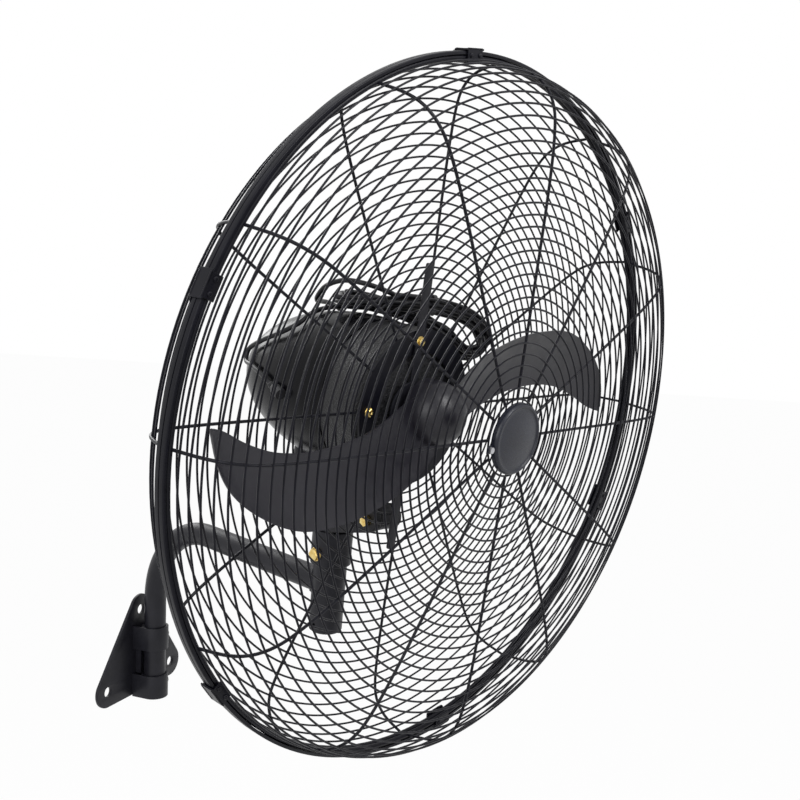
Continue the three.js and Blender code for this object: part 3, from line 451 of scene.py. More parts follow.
def coil_points():
    """The bundle's turns: they spiral in, climb a layer where the spiral reverses, and spiral out."""
    loop = Line(catmull(COIL_LOOP, COIL_LOOP_STEPS, closed=True), closed=True)
    corners = [loop.at(i / COIL_NORMAL_STEPS)[0] for i in range(COIL_NORMAL_STEPS)]
    normal = sum((a.cross(b) for a, b in zip(corners, corners[1:] + corners[:1])), Vector()).normalized()
    upward = normal if normal.z > 0 else -normal
    steps = COIL_STEPS * COIL_SMOOTHING
    half = COIL_TURNS / 2
    points = []
    for i in range(int(COIL_TURNS * COIL_STEPS) * COIL_SMOOTHING + 1):
        turn = i / steps
        point, along = loop.at(turn % 1)
        depth = COIL_PITCH * (turn if turn < half else COIL_TURNS - turn)
        t = min(max((turn - half + 0.25) / 0.5, 0), 1)
        climb = COIL_PITCH * t * t * (3 - 2 * t)
        points.append(point + normal.cross(along).normalized() * depth + upward * climb)
    return points


def run_out(end, inner):
    """A point that runs on straight from an end, by one cord's width."""
    return end + (end - inner).normalized() * CORD_DIAMETER


def cord_route():
    turns = coil_points()
    start = run_out(turns[0], turns[COIL_SMOOTHING])
    stop = run_out(turns[-1], turns[-1 - COIL_SMOOTHING])
    lead_in = (start - turns[0]).normalized()
    lead_out = (stop - turns[-1]).normalized()
    tail = catmull([*TAIL_ROUTE, start + lead_in * RUN_IN, start], ROUTE_STEPS)
    end = catmull([stop, stop + lead_out * RUN_IN, *END_ROUTE], ROUTE_STEPS)
    return turns, tail + turns + end


turns, route = cord_route()


def make_cord():
    curve = bpy.data.curves.new("mains_cord", "CURVE")
    curve.dimensions = "3D"
    curve.bevel_depth = CORD_DIAMETER / 2 * MM
    curve.bevel_resolution = 4
    curve.use_fill_caps = True
    spline = curve.splines.new("POLY")
    spline.points.add(len(route) - 1)
    for point, place in zip(spline.points, route):
        point.co = (*(FAN @ (place * MM)), 1)
    spline.use_smooth = True
    obj = bpy.data.objects.new("mains_cord", curve)
    bpy.context.scene.collection.objects.link(obj)
    return obj


def cable_tie():
    """A strap round all the strands where the turns pass the tie's place, with its head on top."""
    first = TIE_STEP * COIL_SMOOTHING
    strands = turns[first::COIL_STEPS * COIL_SMOOTHING]
    along = (turns[first + 1] - turns[first - 1]).normalized()
    inward = strands[1] - strands[0]
    inward = (inward - along * inward.dot(along)).normalized()
    upward = along.cross(inward)
    spans = []
    for axis in (inward, upward):
        places = [(p - strands[0]).dot(axis) for p in strands]
        spans.append(((min(places) + max(places)) / 2, (max(places) - min(places)) / 2))
    (wide_middle, wide), (high_middle, high) = spans
    slack, thick, half_width = 1, 1.6, 2.5
    quarters = ((1, 1, 0), (-1, 1, 90), (-1, -1, 180), (1, -1, 270))
    reach = CORD_DIAMETER / 2 + slack + thick / 2
    outline = [(u * wide + x, v * high + y) for u, v, turn in quarters
               for x, y in arc(0, 0, reach, turn, turn + 90, 6)]
    rows = []
    for i, (x, y) in enumerate(outline):
        before, after = Vector(outline[i - 1]), Vector(outline[(i + 1) % len(outline)])
        side = (after - before).normalized()
        out = Vector((side.y, -side.x)) * thick / 2
        rows.append([(x + out.x * k, y + out.y * k, z) for k, z in ((-1, -half_width), (1, -half_width),
                                                                  (1, half_width), (-1, half_width))])
    rows.append(rows[0])
    corners, faces = loft(rows)
    strap = corners, faces[:-2]
    head = block((7.4, 5.4, 6.4), (0, high + CORD_DIAMETER / 2 + slack + 3, 0))
    spot = strands[0] + inward * wide_middle + upward * high_middle
    place = Matrix((inward, upward, along)).transposed().to_4x4()
    return moved(joined(strap, head), Matrix.Translation(spot) @ place)


def gland():
    """The tapered strain relief, with ribs round its thin end."""
    start, onward = Vector(TAIL_ROUTE[0]), Vector(TAIL_ROUTE[1])
    ribs = [(4.1, -0.5)]
    for i in range(4):
        y = -1.2 - 1.6 * i
        crest = 4.5 + 0.2 * i
        ribs += [(crest, y), (crest, y - 0.8), (crest - 0.6, y - 1), (crest - 0.6, y - 1.5)]
    sleeve = lathe([(0, -26), (7.2, -26), (6.8, -12), (5.6, -9.5), (5.2, -7.8), *reversed(ribs),
                    (0, -GAP)], 32)
    turn = Vector((0, 1, 0)).rotation_difference(onward - start).to_matrix().to_4x4()
    return moved(sleeve, Matrix.Translation(start) @ turn)


def plug_body():
    """A moulded plug: a neck, a waisted grip and a face."""
    end, inner = route[-1], route[-2]
    neck = lathe([(0, GAP), (4.8, GAP), (5.6, 4), (5.2, 5), (6.4, 8), (6, 9), (7.5, 12), (9, 14),
                  (9, 17), (0, 17)], 32)
    grip = block((24, 20, 21), (0, 26, 0))
    face = block((29.4, 5.6, 26.4), (0, 38.5, 0))
    turn = Vector((0, 1, 0)).rotation_difference(end - inner).to_matrix().to_4x4()
    return moved(joined(neck, grip, face), Matrix.Translation(end) @ turn)


cord = make_cord()

# ---------------------------------------------------------------- materials


class Surface:
    """A Principled shader with the object's own coordinates, in metres, to drive its patterns."""

    def __init__(self, name, roughness, metallic=0.0, sheen=0.5):
        self.material = bpy.data.materials.new(name)
        self.material.use_nodes = True
        self.tree = self.material.node_tree
        self.shader = self.tree.nodes["Principled BSDF"]
        self.shader.inputs["Roughness"].default_value = roughness
        self.shader.inputs["Metallic"].default_value = metallic
        self.shader.inputs["Specular IOR Level"].default_value = sheen
        self.place = self.tree.nodes.new("ShaderNodeTexCoord").outputs["Object"]

    def node(self, kind, **values):
        node = self.tree.nodes.new(kind)
        for key, value in values.items():
            setattr(node, key, value)
        return node

    def link(self, output, target):
        self.tree.links.new(output, target)

    def noise(self, scale, detail=3.0, stretch=None):
        node = self.node("ShaderNodeTexNoise")
        node.inputs["Scale"].default_value = scale
        node.inputs["Detail"].default_value = detail
        place = self.place
        if stretch:
            mapping = self.node("ShaderNodeMapping")
            mapping.inputs["Scale"].default_value = stretch
            self.link(place, mapping.inputs["Vector"])
            place = mapping.outputs["Vector"]
        self.link(place, node.inputs["Vector"])
        return node.outputs["Fac"]

    def bands(self, scale, direction="Y"):
        node = self.node("ShaderNodeTexWave", bands_direction=direction)
        node.inputs["Scale"].default_value = scale
        self.link(self.place, node.inputs["Vector"])
        return node.outputs["Fac"]

    def cells(self, scale, feature="F1"):
        node = self.node("ShaderNodeTexVoronoi", feature=feature)
        node.inputs["Scale"].default_value = scale
        self.link(self.place, node.inputs["Vector"])
        return node.outputs["Distance"]

    def span(self, value, low, high, start=0.3, end=0.7):
        """The value, stretched from start..end to low..high and kept inside them."""
        node = self.node("ShaderNodeMapRange")
        for key, number in (("From Min", start), ("From Max", end), ("To Min", low), ("To Max", high)):
            node.inputs[key].default_value = number
        self.link(value, node.inputs["Value"])
        return node.outputs["Result"]

    def colour(self, value, dark, light, start=0.3, end=0.7):
        ramp = self.node("ShaderNodeValToRGB")
        ramp.color_ramp.elements[0].position = start
        ramp.color_ramp.elements[1].position = end
        ramp.color_ramp.elements[0].color = (*dark, 1)
        ramp.color_ramp.elements[1].color = (*light, 1)
        self.link(value, ramp.inputs["Fac"])
        self.link(ramp.outputs["Color"], self.shader.inputs["Base Color"])

    def roughness(self, value, low, high):
        self.link(self.span(value, low, high), self.shader.inputs["Roughness"])

    def relief(self, *layers):
        """Bump from (value, height in millimetres) pairs, one on top of the other."""
        below = None
        for value, height in layers:
            bump = self.node("ShaderNodeBump")
            bump.inputs["Distance"].default_value = height * MM
            bump.inputs["Strength"].default_value = 1.0
            self.link(value, bump.inputs["Height"])
            if below:
                self.link(below, bump.inputs["Normal"])
            below = bump.outputs["Normal"]
        self.link(below, self.shader.inputs["Normal"])


def powder_coat(name, dark, light, rough, peel, sheen):
    """Baked powder paint: a fine orange peel over slow waves, and smudges of wear in its sheen."""
    s = Surface(name, rough, sheen=sheen)
    s.colour(s.noise(35, 4), dark, light)
    s.roughness(s.noise(90, 5), rough - 0.05, rough + 0.07)
    s.relief((s.noise(420, 2), peel), (s.noise(1500, 2), peel * 0.4))
    return s.material


def crinkle_paint():
    s = Surface("crinkle black paint", 0.4, sheen=0.4)
    wrinkles = s.cells(480, "SMOOTH_F1")
    s.colour(wrinkles, (0.014, 0.014, 0.018), (0.003, 0.003, 0.004), 0.1, 0.6)
    s.roughness(s.noise(700), 0.25, 0.5)
    s.relief((wrinkles, 1.0), (s.noise(1300, 3), 0.4))
    return s.material


def gloss_shell():
    s = Surface("glossy black shell", 0.2, sheen=0.1)
    s.colour(s.noise(20, 3), (0.002, 0.002, 0.003), (0.004, 0.004, 0.006))
    s.roughness(s.noise(60, 4), 0.2, 0.3)
    s.relief((s.noise(150, 2), 0.05))
    return s.material


def casting():
    s = Surface("painted casting", 0.5, sheen=0.3)
    s.colour(s.noise(60, 5), (0.005, 0.005, 0.008), (0.013, 0.013, 0.018))
    s.roughness(s.noise(240, 4), 0.4, 0.6)
    s.relief((s.noise(160, 4), 0.25), (s.noise(900, 3), 0.1))
    return s.material


def yellow_zinc():
    s = Surface("yellow passivated zinc", 0.28, 1.0)
    s.colour(s.noise(160, 4), (0.62, 0.40, 0.10), (0.83, 0.70, 0.32))
    s.roughness(s.noise(500, 4), 0.2, 0.38)
    s.relief((s.noise(900, 2), 0.03))
    return s.material


def bright_steel(name="bright steel"):
    s = Surface(name, 0.3, 1.0)
    s.colour(s.noise(90, 4), (0.42, 0.42, 0.44), (0.58, 0.58, 0.60))
    s.roughness(s.noise(800, 3, (1, 0.05, 1)), 0.22, 0.42)
    s.relief((s.noise(1400, 2, (1, 0.04, 1)), 0.02))
    return s.material


def laminations():
    """Steel sheets stacked along the motor's axis."""
    s = Surface("steel laminations", 0.42, 1.0)
    sheets = s.bands(300)
    s.colour(sheets, (0.18, 0.17, 0.17), (0.45, 0.44, 0.43))
    s.roughness(s.noise(300), 0.35, 0.55)
    s.relief((sheets, 0.15))
    return s.material


def rotor_metal():
    s = Surface("machined aluminium", 0.35, 1.0)
    s.colour(s.bands(260), (0.48, 0.48, 0.50), (0.66, 0.66, 0.68))
    s.roughness(s.noise(400), 0.28, 0.42)
    s.relief((s.bands(260), 0.06))
    return s.material


def enamelled_wire():
    s = Surface("enamelled copper wire", 0.3, 1.0)
    strands = s.noise(240, 1, (0.3, 3, 0.3))
    s.colour(strands, (0.36, 0.13, 0.05), (0.72, 0.36, 0.16))
    s.roughness(s.noise(300), 0.25, 0.4)
    s.relief((strands, 0.6))
    return s.material


def moulded_plastic():
    s = Surface("moulded black plastic", 0.55)
    s.colour(s.noise(80, 3), (0.010, 0.010, 0.012), (0.018, 0.018, 0.021))
    s.roughness(s.noise(500, 3), 0.48, 0.62)
    s.relief((s.cells(1600), 0.05))
    return s.material


def cord_sheath():
    s = Surface("cord sheath", 0.36, sheen=0.25)
    s.colour(s.noise(50, 3), (0.004, 0.004, 0.006), (0.009, 0.009, 0.012))
    s.roughness(s.noise(160, 4), 0.28, 0.44)
    s.relief((s.noise(260, 2), 0.06))
    return s.material


def badge_face():
    s = Surface("badge plastic", 0.3, sheen=0.4)
    s.colour(s.noise(40, 3), (0.006, 0.007, 0.014), (0.013, 0.015, 0.026))
    s.roughness(s.noise(300, 3), 0.24, 0.36)
    s.relief((s.noise(700, 2), 0.03))
    return s.material


satin = powder_coat("satin black powder coat", (0.009, 0.009, 0.013), (0.016, 0.016, 0.022),
                    0.42, 0.12, 0.28)
wire_coat = powder_coat("coated wire", (0.004, 0.004, 0.007), (0.008, 0.008, 0.013), 0.36, 0.04, 0.16)
blade_paint = powder_coat("charcoal blade paint", (0.012, 0.011, 0.017), (0.018, 0.017, 0.024),
                          0.34, 0.05, 0.5)
crinkle = crinkle_paint()
gloss = gloss_shell()
cast = casting()
zinc = yellow_zinc()
steel = bright_steel()
stack = laminations()
machined = rotor_metal()
copper = enamelled_wire()
plastic = moulded_plastic()
sheath = cord_sheath()
badge_plastic = badge_face()

# ---------------------------------------------------------------- cord pieces

sheath_pieces = [
    piece("gland", gland(), FAN, plastic, "head", ["cord_gland"]),
    piece("cable_tie", cable_tie(), FAN, plastic, "head", ["cord_tie"]),
    piece("plug_body", plug_body(), FAN, sheath, "head", ["plug"]),
]
soften(sheath_pieces[1], 0.5, 2)
soften(sheath_pieces[2], 2.5, 4)
cord.data.materials.append(sheath)
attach(cord, "head")
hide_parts("cord_tail", "cord_coil", "cord_end")
Line(route).length * MM

# ---------------------------------------------------------------- wall plate and collars

# Each corner's hole as (x, z), with the angle at which its rounding starts.
PLATE_CORNERS = ((-HOLE_HALF_SPAN, -HOLE_RISE, 150), (HOLE_HALF_SPAN, -HOLE_RISE, 270),
                 (0, HOLE_RISE, 30))


def wall_plate():
    outline = [point for x, z, start in PLATE_CORNERS
               for point in arc(x, z, PLATE_CORNER_R, start, start + 120, 16)]
    holes = [arc(x, z, HOLE_R, 0, 348, 29) for x, z, _ in PLATE_CORNERS]
    return plate(outline, PLATE_THICK, holes, edge=0.9)


def collar(bottom):
    """A ring round the pipe, its two legs running back to the plate."""
    depth = -PIPE_AXIS_Y - PLATE_THICK - GAP
    inner = PIPE_R + GAP
    turn = degrees(acos(inner / COLLAR_OUTER_R))
    outline = [(COLLAR_OUTER_R, depth), *arc(0, 0, COLLAR_OUTER_R, 0, -180, 40),
               (-COLLAR_OUTER_R, depth), (-inner, depth),
               *arc(0, 0, COLLAR_OUTER_R, 180 - turn, turn, 24), (inner, depth)]
    strap = plate(outline, COLLAR_HEIGHT, [arc(0, 0, inner, 0, 354, 59)], edge=0.7)
    return moved(strap, shift(y=PIPE_AXIS_Y, z=bottom) @ Matrix.Rotation(-pi / 2, 4, "X"))


def collar_bolt(bottom):
    """A nut against the collar, a short shank and a domed head."""
    under = COLLAR_OUTER_R + GAP
    flats = ((0, 0), (7, 0), (7.4, 0.4), (7.4, 2.6), (6.8, 3), (0, 3))
    dome = ((0, 3), (6.4, 3), (7.6, 3.8), (7.8, 4.8), (6.8, 6), (4.6, 6.8), (0, 7))
    nut = lathe([(r, under + x) for r, x in flats], 6)
    head = lathe([(r, under + x) for r, x in dome], 40)
    shank = rod(COLLAR_BOLT_R, PIPE_R + GAP, under + 5)
    place = shift(y=PIPE_AXIS_Y, z=bottom + COLLAR_HEIGHT / 2) @ TO_X
    return moved(joined(nut, shank, head), place)


piece("plate", wall_plate(), WALL, satin, "bracket", ["wall_plate"])
for place, bottom in (("upper", UPPER_COLLAR_Z), ("lower", LOWER_COLLAR_Z)):
    piece(f"strap_{place}", collar(bottom), WALL, satin, "bracket",
          [f"collar_{place}"])
    piece(f"bolt_{place}", collar_bolt(bottom), WALL, satin, "bracket",
          [f"collar_bolt_{place}"])

# ---------------------------------------------------------------- swing arm


def arm_line():
    """The pipe's middle line: up the wall, round the bend and along the drooping reach."""
    sweep = 90 + ARM_DROOP
    corner = [(0, y, z) for y, z in arc(-BEND_R, BEND_START_Z, BEND_R, 0, sweep, 40)]
    slope = Vector((0, -cos(radians(ARM_DROOP)), -sin(radians(ARM_DROOP))))
    end = Vector((0, -ARM_REACH, SLEEVE_Z)) + slope * -PIPE_END_BACK
    return [Vector((0, 0, PIPE_BOTTOM_Z)), *map(Vector, corner), end]


def arm_pipe():
    pipe = new_object("pipe", tube(arm_line(), PIPE_R, 64), ARM)
    bore = tube(arm_line()[:2], PIPE_R - PIPE_WALL, 48)
    upright = Matrix.Rotation(radians(ARM_DROOP), 4, "X") @ TO_Z
    saddle = moved(rod(SLEEVE_R + GAP, -60, 60, 0.1, 64), shift(y=-ARM_REACH, z=SLEEVE_Z) @ upright)
    return cut_away(pipe, ARM, moved(bore, shift(z=-4)), saddle)


def weld_bead():
    """The bead where the pipe meets the sleeve: a rippled ring, in the sleeve's frame."""
    spots, steps, sides, bead, ripple = [], 72, 10, 2.3, 0.16
    for i in range(steps):
        angle = 2 * pi * i / steps
        x, z = (PIPE_R + 0.6) * cos(angle), (PIPE_R + 0.6) * sin(angle)
        spots.append((x, sqrt((SLEEVE_R + 0.8) ** 2 - x * x), z))
    corners, faces = tube(spots, bead, sides, closed=True)
    for i, corner in enumerate(corners):
        spot = i // sides
        middle = Vector(spots[spot])
        corners[i] = middle + (corner - middle) * (1 + ripple * sin(2 * pi * spot / 4))
    return corners, faces


def neck_sleeve():
    tube_wall = new_object("sleeve", moved(lathe([
        (SLEEVE_BORE_R, SLEEVE_BOTTOM), (SLEEVE_R - 2.4, SLEEVE_BOTTOM),
        (SLEEVE_R - 0.7, SLEEVE_BOTTOM + 0.7), (SLEEVE_R, SLEEVE_BOTTOM + 2.4),
        (SLEEVE_R, SLEEVE_TOP - 0.6), (SLEEVE_R - 0.6, SLEEVE_TOP),
        (SLEEVE_BORE_R, SLEEVE_TOP), (SLEEVE_BORE_R, SLEEVE_BOTTOM)], 72), TO_Z), SLEEVE)
    pin_hole = moved(rod(PIN_HOLE_R, -40, 40, 0.1), shift(z=SLEEVE_BOTTOM + 10) @ TO_X)
    lock_hole = moved(rod(LOCK_HOLE_R, -40, 0, 0.1), shift(z=LOCK_BOLT_Z) @ TO_X)
    return cut_away(tube_wall, SLEEVE, pin_hole, lock_hole)


def sleeve_band():
    return moved(lathe([
        (SLEEVE_R + GAP, BAND_BOTTOM), (BAND_R - 0.9, BAND_BOTTOM), (BAND_R, BAND_BOTTOM + 0.9),
        (BAND_R, SLEEVE_TOP - 0.9), (BAND_R - 0.9, SLEEVE_TOP), (SLEEVE_R + GAP, SLEEVE_TOP),
        (SLEEVE_R + GAP, BAND_BOTTOM)], 72), TO_Z)


def hexagon(across, low, high, chamfer=1.0):
    """A hexagon head along Y with chamfered corners, by its corner radius."""
    return lathe([(0, low), (across, low), (across, high - chamfer), (across - chamfer * 1.4, high),
                  (0, high)], 6)


def lock_bolt():
    washer = lathe([(0, 27.4), (8.8, 27.4), (9, 27.7), (9, 28.8), (8.8, 29.1), (0, 29.1)], 48)
    head = hexagon(8, 29.1, 34.5)
    place = shift(z=LOCK_BOLT_Z) @ Matrix.Rotation(pi / 2, 4, "Z")
    return moved(joined(rod(5, 15.6, 30), washer, head), place)


finished(arm_pipe(), satin, "arm", ["arm_pipe"], 30)
piece("weld", weld_bead(), SLEEVE, satin, "arm", angle=60)
finished(neck_sleeve(), satin, "arm", ["neck_sleeve"])
piece("band", sleeve_band(), SLEEVE, satin, "arm", ["sleeve_band"])
piece("lock_screw", lock_bolt(), SLEEVE, zinc, "arm", ["lock_bolt"], 25)
CAP_PROFILE = [
    (0, SLEEVE_BOTTOM - 4), (10, SLEEVE_BOTTOM - 3.7), (15, SLEEVE_BOTTOM - 2.8),
    (18.4, SLEEVE_BOTTOM - 1.5), (19.4, SLEEVE_BOTTOM - GAP),
    (SLEEVE_BORE_R - GAP, SLEEVE_BOTTOM - GAP), (SLEEVE_BORE_R - GAP, SLEEVE_BOTTOM + 6),
    (0, SLEEVE_BOTTOM + 6)]
PLUG_PROFILE = [
    (0, PIPE_BOTTOM_Z - 3), (12, PIPE_BOTTOM_Z - 3), (15, PIPE_BOTTOM_Z - 2.2),
    (15.8, PIPE_BOTTOM_Z - 1.2), (15.8, PIPE_BOTTOM_Z - GAP), (13.8, PIPE_BOTTOM_Z - GAP),
    (13.8, PIPE_BOTTOM_Z + 12), (0, PIPE_BOTTOM_Z + 12)]
piece("cap", moved(lathe(CAP_PROFILE, 64), TO_Z), SLEEVE, plastic, "arm",
      ["sleeve_cap"])
piece("end_plug", moved(lathe(PLUG_PROFILE, 64), TO_Z), ARM, plastic, "arm",
      ["pipe_plug"])

# ---------------------------------------------------------------- castings, from their CAD solids


def cast_piece(node, voxel, body):
    """The CAD solid with the soft edges and skin of a casting."""
    obj = bpy.data.objects.new(f"cast_{node}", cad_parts[node].data.copy())
    bpy.context.scene.collection.objects.link(obj)
    grid = obj.modifiers.new("skin", "REMESH")
    grid.mode = "VOXEL"
    grid.voxel_size = voxel * MM
    blur = obj.modifiers.new("soft", "SMOOTH")
    blur.factor = 0.5
    blur.iterations = 5
    apply_modifiers(obj)
    return finished(obj, cast, body, [node], 180)


cast_piece("tilt_yoke", 1.1, "yoke")
cast_piece("neck_casting", 1.1, "neck")
cast_piece("swivel_foot", 1.2, "head")
cast_piece("gearbox", 1.4, "head")

# ---------------------------------------------------------------- motor housing


def cover_skin(inset, steps=40):
    """Half an ellipse, from the joint with the front bell to the tip, as (radius, y) pairs."""
    scale = 1 - inset / COVER_R
    start = (COVER_CENTRE_Y - BELL_BACK_Y - GAP) / COVER_LENGTH / scale
    points = []
    for i in range(steps + 1):
        angle = -start + (pi / 2 + start) * i / steps
        radius = COVER_R * scale * cos(angle) if i < steps else 0
        points.append((radius, COVER_CENTRE_Y + COVER_LENGTH * scale * sin(angle)))
    points[0] = (points[0][0], BELL_BACK_Y + GAP)
    return points


def tail_cover():
    outside, inside = cover_skin(0), cover_skin(COVER_WALL)
    shell = new_object("tail_shell", lathe([*outside, *reversed(inside), outside[0]], 144), FAN)
    return cut_away(shell, FAN, moved(rod(16, -110, -60, 0.1), shift(y=CRANK_Y) @ TO_Z))


def front_bell():
    face = BELL_FRONT_Y
    corner = 9
    inside = BELL_R - BELL_WALL
    shoulder = [(BELL_R - corner + u, face + corner - v) for u, v in arc(0, 0, corner, 90, 0, 10)]
    return lathe([(18, face - 2), (27, face - 2), (28, face - 1.6), (29, face), (60, face),
                  (62, face + 0.8), (70, face + 0.8), (72, face), *shoulder,
                  (BELL_R, BELL_BACK_Y - 0.8), (BELL_R - 0.8, BELL_BACK_Y), (inside, BELL_BACK_Y),
                  (inside, face + 11), (86, face + 6), (24, face + 6), (24, face + 20),
                  (18, face + 20), (18, face - 2)], 128)


finished(tail_cover(), gloss, "head", ["tail_cover"], 30)
piece("bell", front_bell(), FAN, crinkle, "head", ["motor_front_bell"], 30)

# ---------------------------------------------------------------- impeller

# Blade edges by radius: (radius, leading angle, trailing angle, leading y, trailing y), with the
# angles clockwise from the left as seen from the front.
BLADE_STATIONS = [(28, 50, -82, 34, 12), (60, 12, -66, 33, 9), (90, -3, -55, 32, 7),
                  (130, -8, -44.5, 31, 5), (190, -8, -33.5, 30, 2), (245, -5.4, -25.2, 28, 2),
                  (290, -1.8, -16.6, 25, 5), (322, 1, -9.6, 20, 7), (338, 1.8, -4.2, 15, 8),
                  (BLADE_TIP_R, 2, 0.8, 12, 9)]
BLADE_CAMBER = 7


def blade_edges(radius):
    """The edges at a radius, on a smooth curve through the stations."""
    last = len(BLADE_STATIONS) - 1
    i = max(k for k in range(last) if k == 0 or BLADE_STATIONS[k][0] <= radius)
    near = [BLADE_STATIONS[min(max(k, 0), last)] for k in (i - 1, i, i + 1, i + 2)]
    r0, r1, r2, r3 = (station[0] for station in near)
    t = (radius - r1) / (r2 - r1)
    result = []
    for a, b, c, d in list(zip(*near))[1:]:
        out = (c - a) / (r2 - r0) * (r2 - r1)
        into = (d - b) / (r3 - r1) * (r2 - r1)
        result.append((2 * t**3 - 3 * t**2 + 1) * b + (t**3 - 2 * t**2 + t) * out
                      + (3 * t**2 - 2 * t**3) * c + (t**3 - t**2) * into)
    return result


def blade(turn):
    """A pitched and cambered sheet from hub to tip, with rounded edges."""
    along_steps, across_steps = 72, 28
    root = BLADE_STATIONS[0][0]
    rows = []
    for i in range(along_steps + 1):
        along = i / along_steps
        radius = root + (BLADE_TIP_R - root) * sin(along * pi / 2) ** 0.9
        lead, trail, lead_y, trail_y = blade_edges(radius)
        row = []
        for side in (-1, 1):
            for k in range(across_steps):
                across = (k + 0.5) / across_steps
                across = across if side < 0 else 1 - across
                angle = radians(trail + (lead - trail) * across + turn)
                camber = BLADE_CAMBER * (1 - (2 * across - 1) ** 2) * (1 - 0.6 * along)
                edge = min(across, 1 - across) * radius * radians(lead - trail)
                half = BLADE_THICK / 2 * sqrt(min(1, (0.3 + edge) / 2.5))
                y = trail_y + (lead_y - trail_y) * across + camber + side * half
                row.append((-radius * cos(angle), y, radius * sin(angle)))
        rows.append(row)
    return loft(rows)


def dome(radius, angles):
    """The hub's round nose as (radius, y) pairs, by angles up from its widest part."""
    return [(radius * cos(radians(a)) if a < 90 else 0, HUB_DOME_Y - radius * sin(radians(a)))
            for a in angles]


def hub():
    """A domed hub over a boss on the shaft, open to the back and drilled for its grub screw."""
    inside = HUB_R - HUB_WALL
    body = new_object("hub_dome", lathe([
        *dome(HUB_R, range(90, -1, -5)), (HUB_R, HUB_BACK_Y - 0.8), (HUB_R - 0.8, HUB_BACK_Y),
        (inside, HUB_BACK_Y),
        *dome(inside, range(0, 61, 5)), (HUB_BOSS_R, HUB_DOME_Y - sqrt(inside**2 - HUB_BOSS_R**2)),
        (HUB_BOSS_R, HUB_BACK_Y - 3), (SHAFT_R + GAP, HUB_BACK_Y - 3), (SHAFT_R + GAP, HUB_BORE_FRONT_Y),
        (0, HUB_BORE_FRONT_Y)], 96), FAN)
    hole = moved(rod(GRUB_SCREW_R + GAP, SHAFT_R - 2, HUB_R + 5, 0.1), shift(y=GRUB_SCREW_Y) @ TO_Z)
    return cut_away(body, FAN, hole)


piece("blade_west", blade(0), FAN, blade_paint, "impeller", ["blade_left"], 60)
piece("blade_east", blade(180), FAN, blade_paint, "impeller", ["blade_right"], 60)
finished(hub(), blade_paint, "impeller", ["impeller_hub"])

# ---------------------------------------------------------------- wire guards


def guard_line(profile):
    return Line(catmull([(0, y, r) for r, y in profile], 12))


def wire_guard(profile):
    """Ribs along the profile and rings at an even pitch on it. On the faces the ribs lie behind."""
    line = guard_line(profile)
    gaps = round(line.length / RING_PITCH)
    depth = (RIB_WIRE + RING_WIRE) / 2 - RIB_SINK
    bent = []
    for i in range(RIB_STEPS + 1):
        point, along = line.at(i / RIB_STEPS)
        bent.append(point + Vector((0, -along.z, along.y)) * depth)
    rib = tube(bent, RIB_WIRE / 2, 10)
    shapes = [moved(rib, spin(360 * i / RIB_COUNT)) for i in range(RIB_COUNT)]
    for i in range(1, gaps):
        spot = line.at(i / gaps)[0]
        shapes.append(ring(spot.z, spot.y, RING_WIRE / 2))
    rim_r, rim_y = profile[0]
    shapes.append(ring(rim_r - 1, rim_y, RIM_WIRE_R, 12))
    return shapes


def front_guard():
    eye_r, eye_y = FRONT_PROFILE[-1]
    disc_r = eye_r - 6
    eye = lathe([(0, eye_y - 1), (disc_r, eye_y - 1), (disc_r, eye_y + 1), (0, eye_y + 1)], 64)
    return joined(*wire_guard(FRONT_PROFILE), ring(eye_r, eye_y, RING_WIRE / 2), eye)


def rear_guard():
    eye_r, eye_y = REAR_PROFILE[-1]
    inner, outer = eye_r - REAR_EYE_WIDE, eye_r + 2
    eye = lathe([(inner, eye_y - 1.5), (outer, eye_y - 1.5), (outer, eye_y + 1.5),
                 (inner, eye_y + 1.5), (inner, eye_y - 1.5)], 96)
    return joined(*wire_guard(REAR_PROFILE), eye)


def rim_band():
    """A rolled channel round both rim wires."""
    outer, edge = BAND_INNER_R + BAND_THICK, 1.2
    lip = [(outer - edge + u, BAND_HALF - edge + v) for u, v in arc(0, 0, edge, 0, 90, 4)]
    groove = [(outer, -0.8), (outer - 0.9, -0.4), (outer - 0.9, 0.4), (outer, 0.8)]
    side = [(BAND_INNER_R, BAND_HALF), (BAND_INNER_R, BAND_HALF - 1),
            (BAND_INNER_R + 1.5, BAND_HALF - 1.6)]
    half = [*lip, *side]
    profile = [*[(r, -y) for r, y in reversed(half)], *groove, *half]
    return moved(lathe([*profile, profile[0]], 240), shift(y=BAND_Y))


def rim_clip(angle):
    """A sheet clip astride the band: a bridge, a lip down each face, a round ear and two rivets."""
    reach = BAND_HALF + GAP + CLIP_WALL
    top = BAND_INNER_R + BAND_THICK + GAP
    bridge = block((28, 2 * reach, 2), (0, 0, top + 1))
    lips = [block((24, CLIP_WALL, 15), (0, side * (reach - CLIP_WALL / 2), top - 5))
            for side in (-1, 1)]
    ear = moved(rod(6.5, reach - CLIP_WALL, reach, 0.5), shift(x=-14, z=top - 6))
    rivets = [moved(rod(2.6, -reach - 1.6, -reach + 1, 0.9, 24), shift(x=x, z=top - 5))
              for x in (-CLIP_RIVET_X, CLIP_RIVET_X)]
    return moved(joined(bridge, *lips, ear, *rivets), spin(angle - 90) @ shift(y=BAND_Y))


piece("rear_wires", rear_guard(), FAN, wire_coat, "head",
      ["rear_guard", "rear_guard_wall"])
piece("front_wires", front_guard(), FAN, wire_coat, "head",
      ["front_guard", "front_guard_wall"])
piece("band_ring", rim_band(), FAN, wire_coat, "head", ["rim_band"])
for i, angle in enumerate(CLIP_ANGLES, 1):
    clip = piece(f"clip_{i}", rim_clip(angle), FAN, wire_coat, "head", [f"rim_clip_{i}"])
    soften(clip, 0.7, 2)

# ---------------------------------------------------------------- strap, its screws and the badge


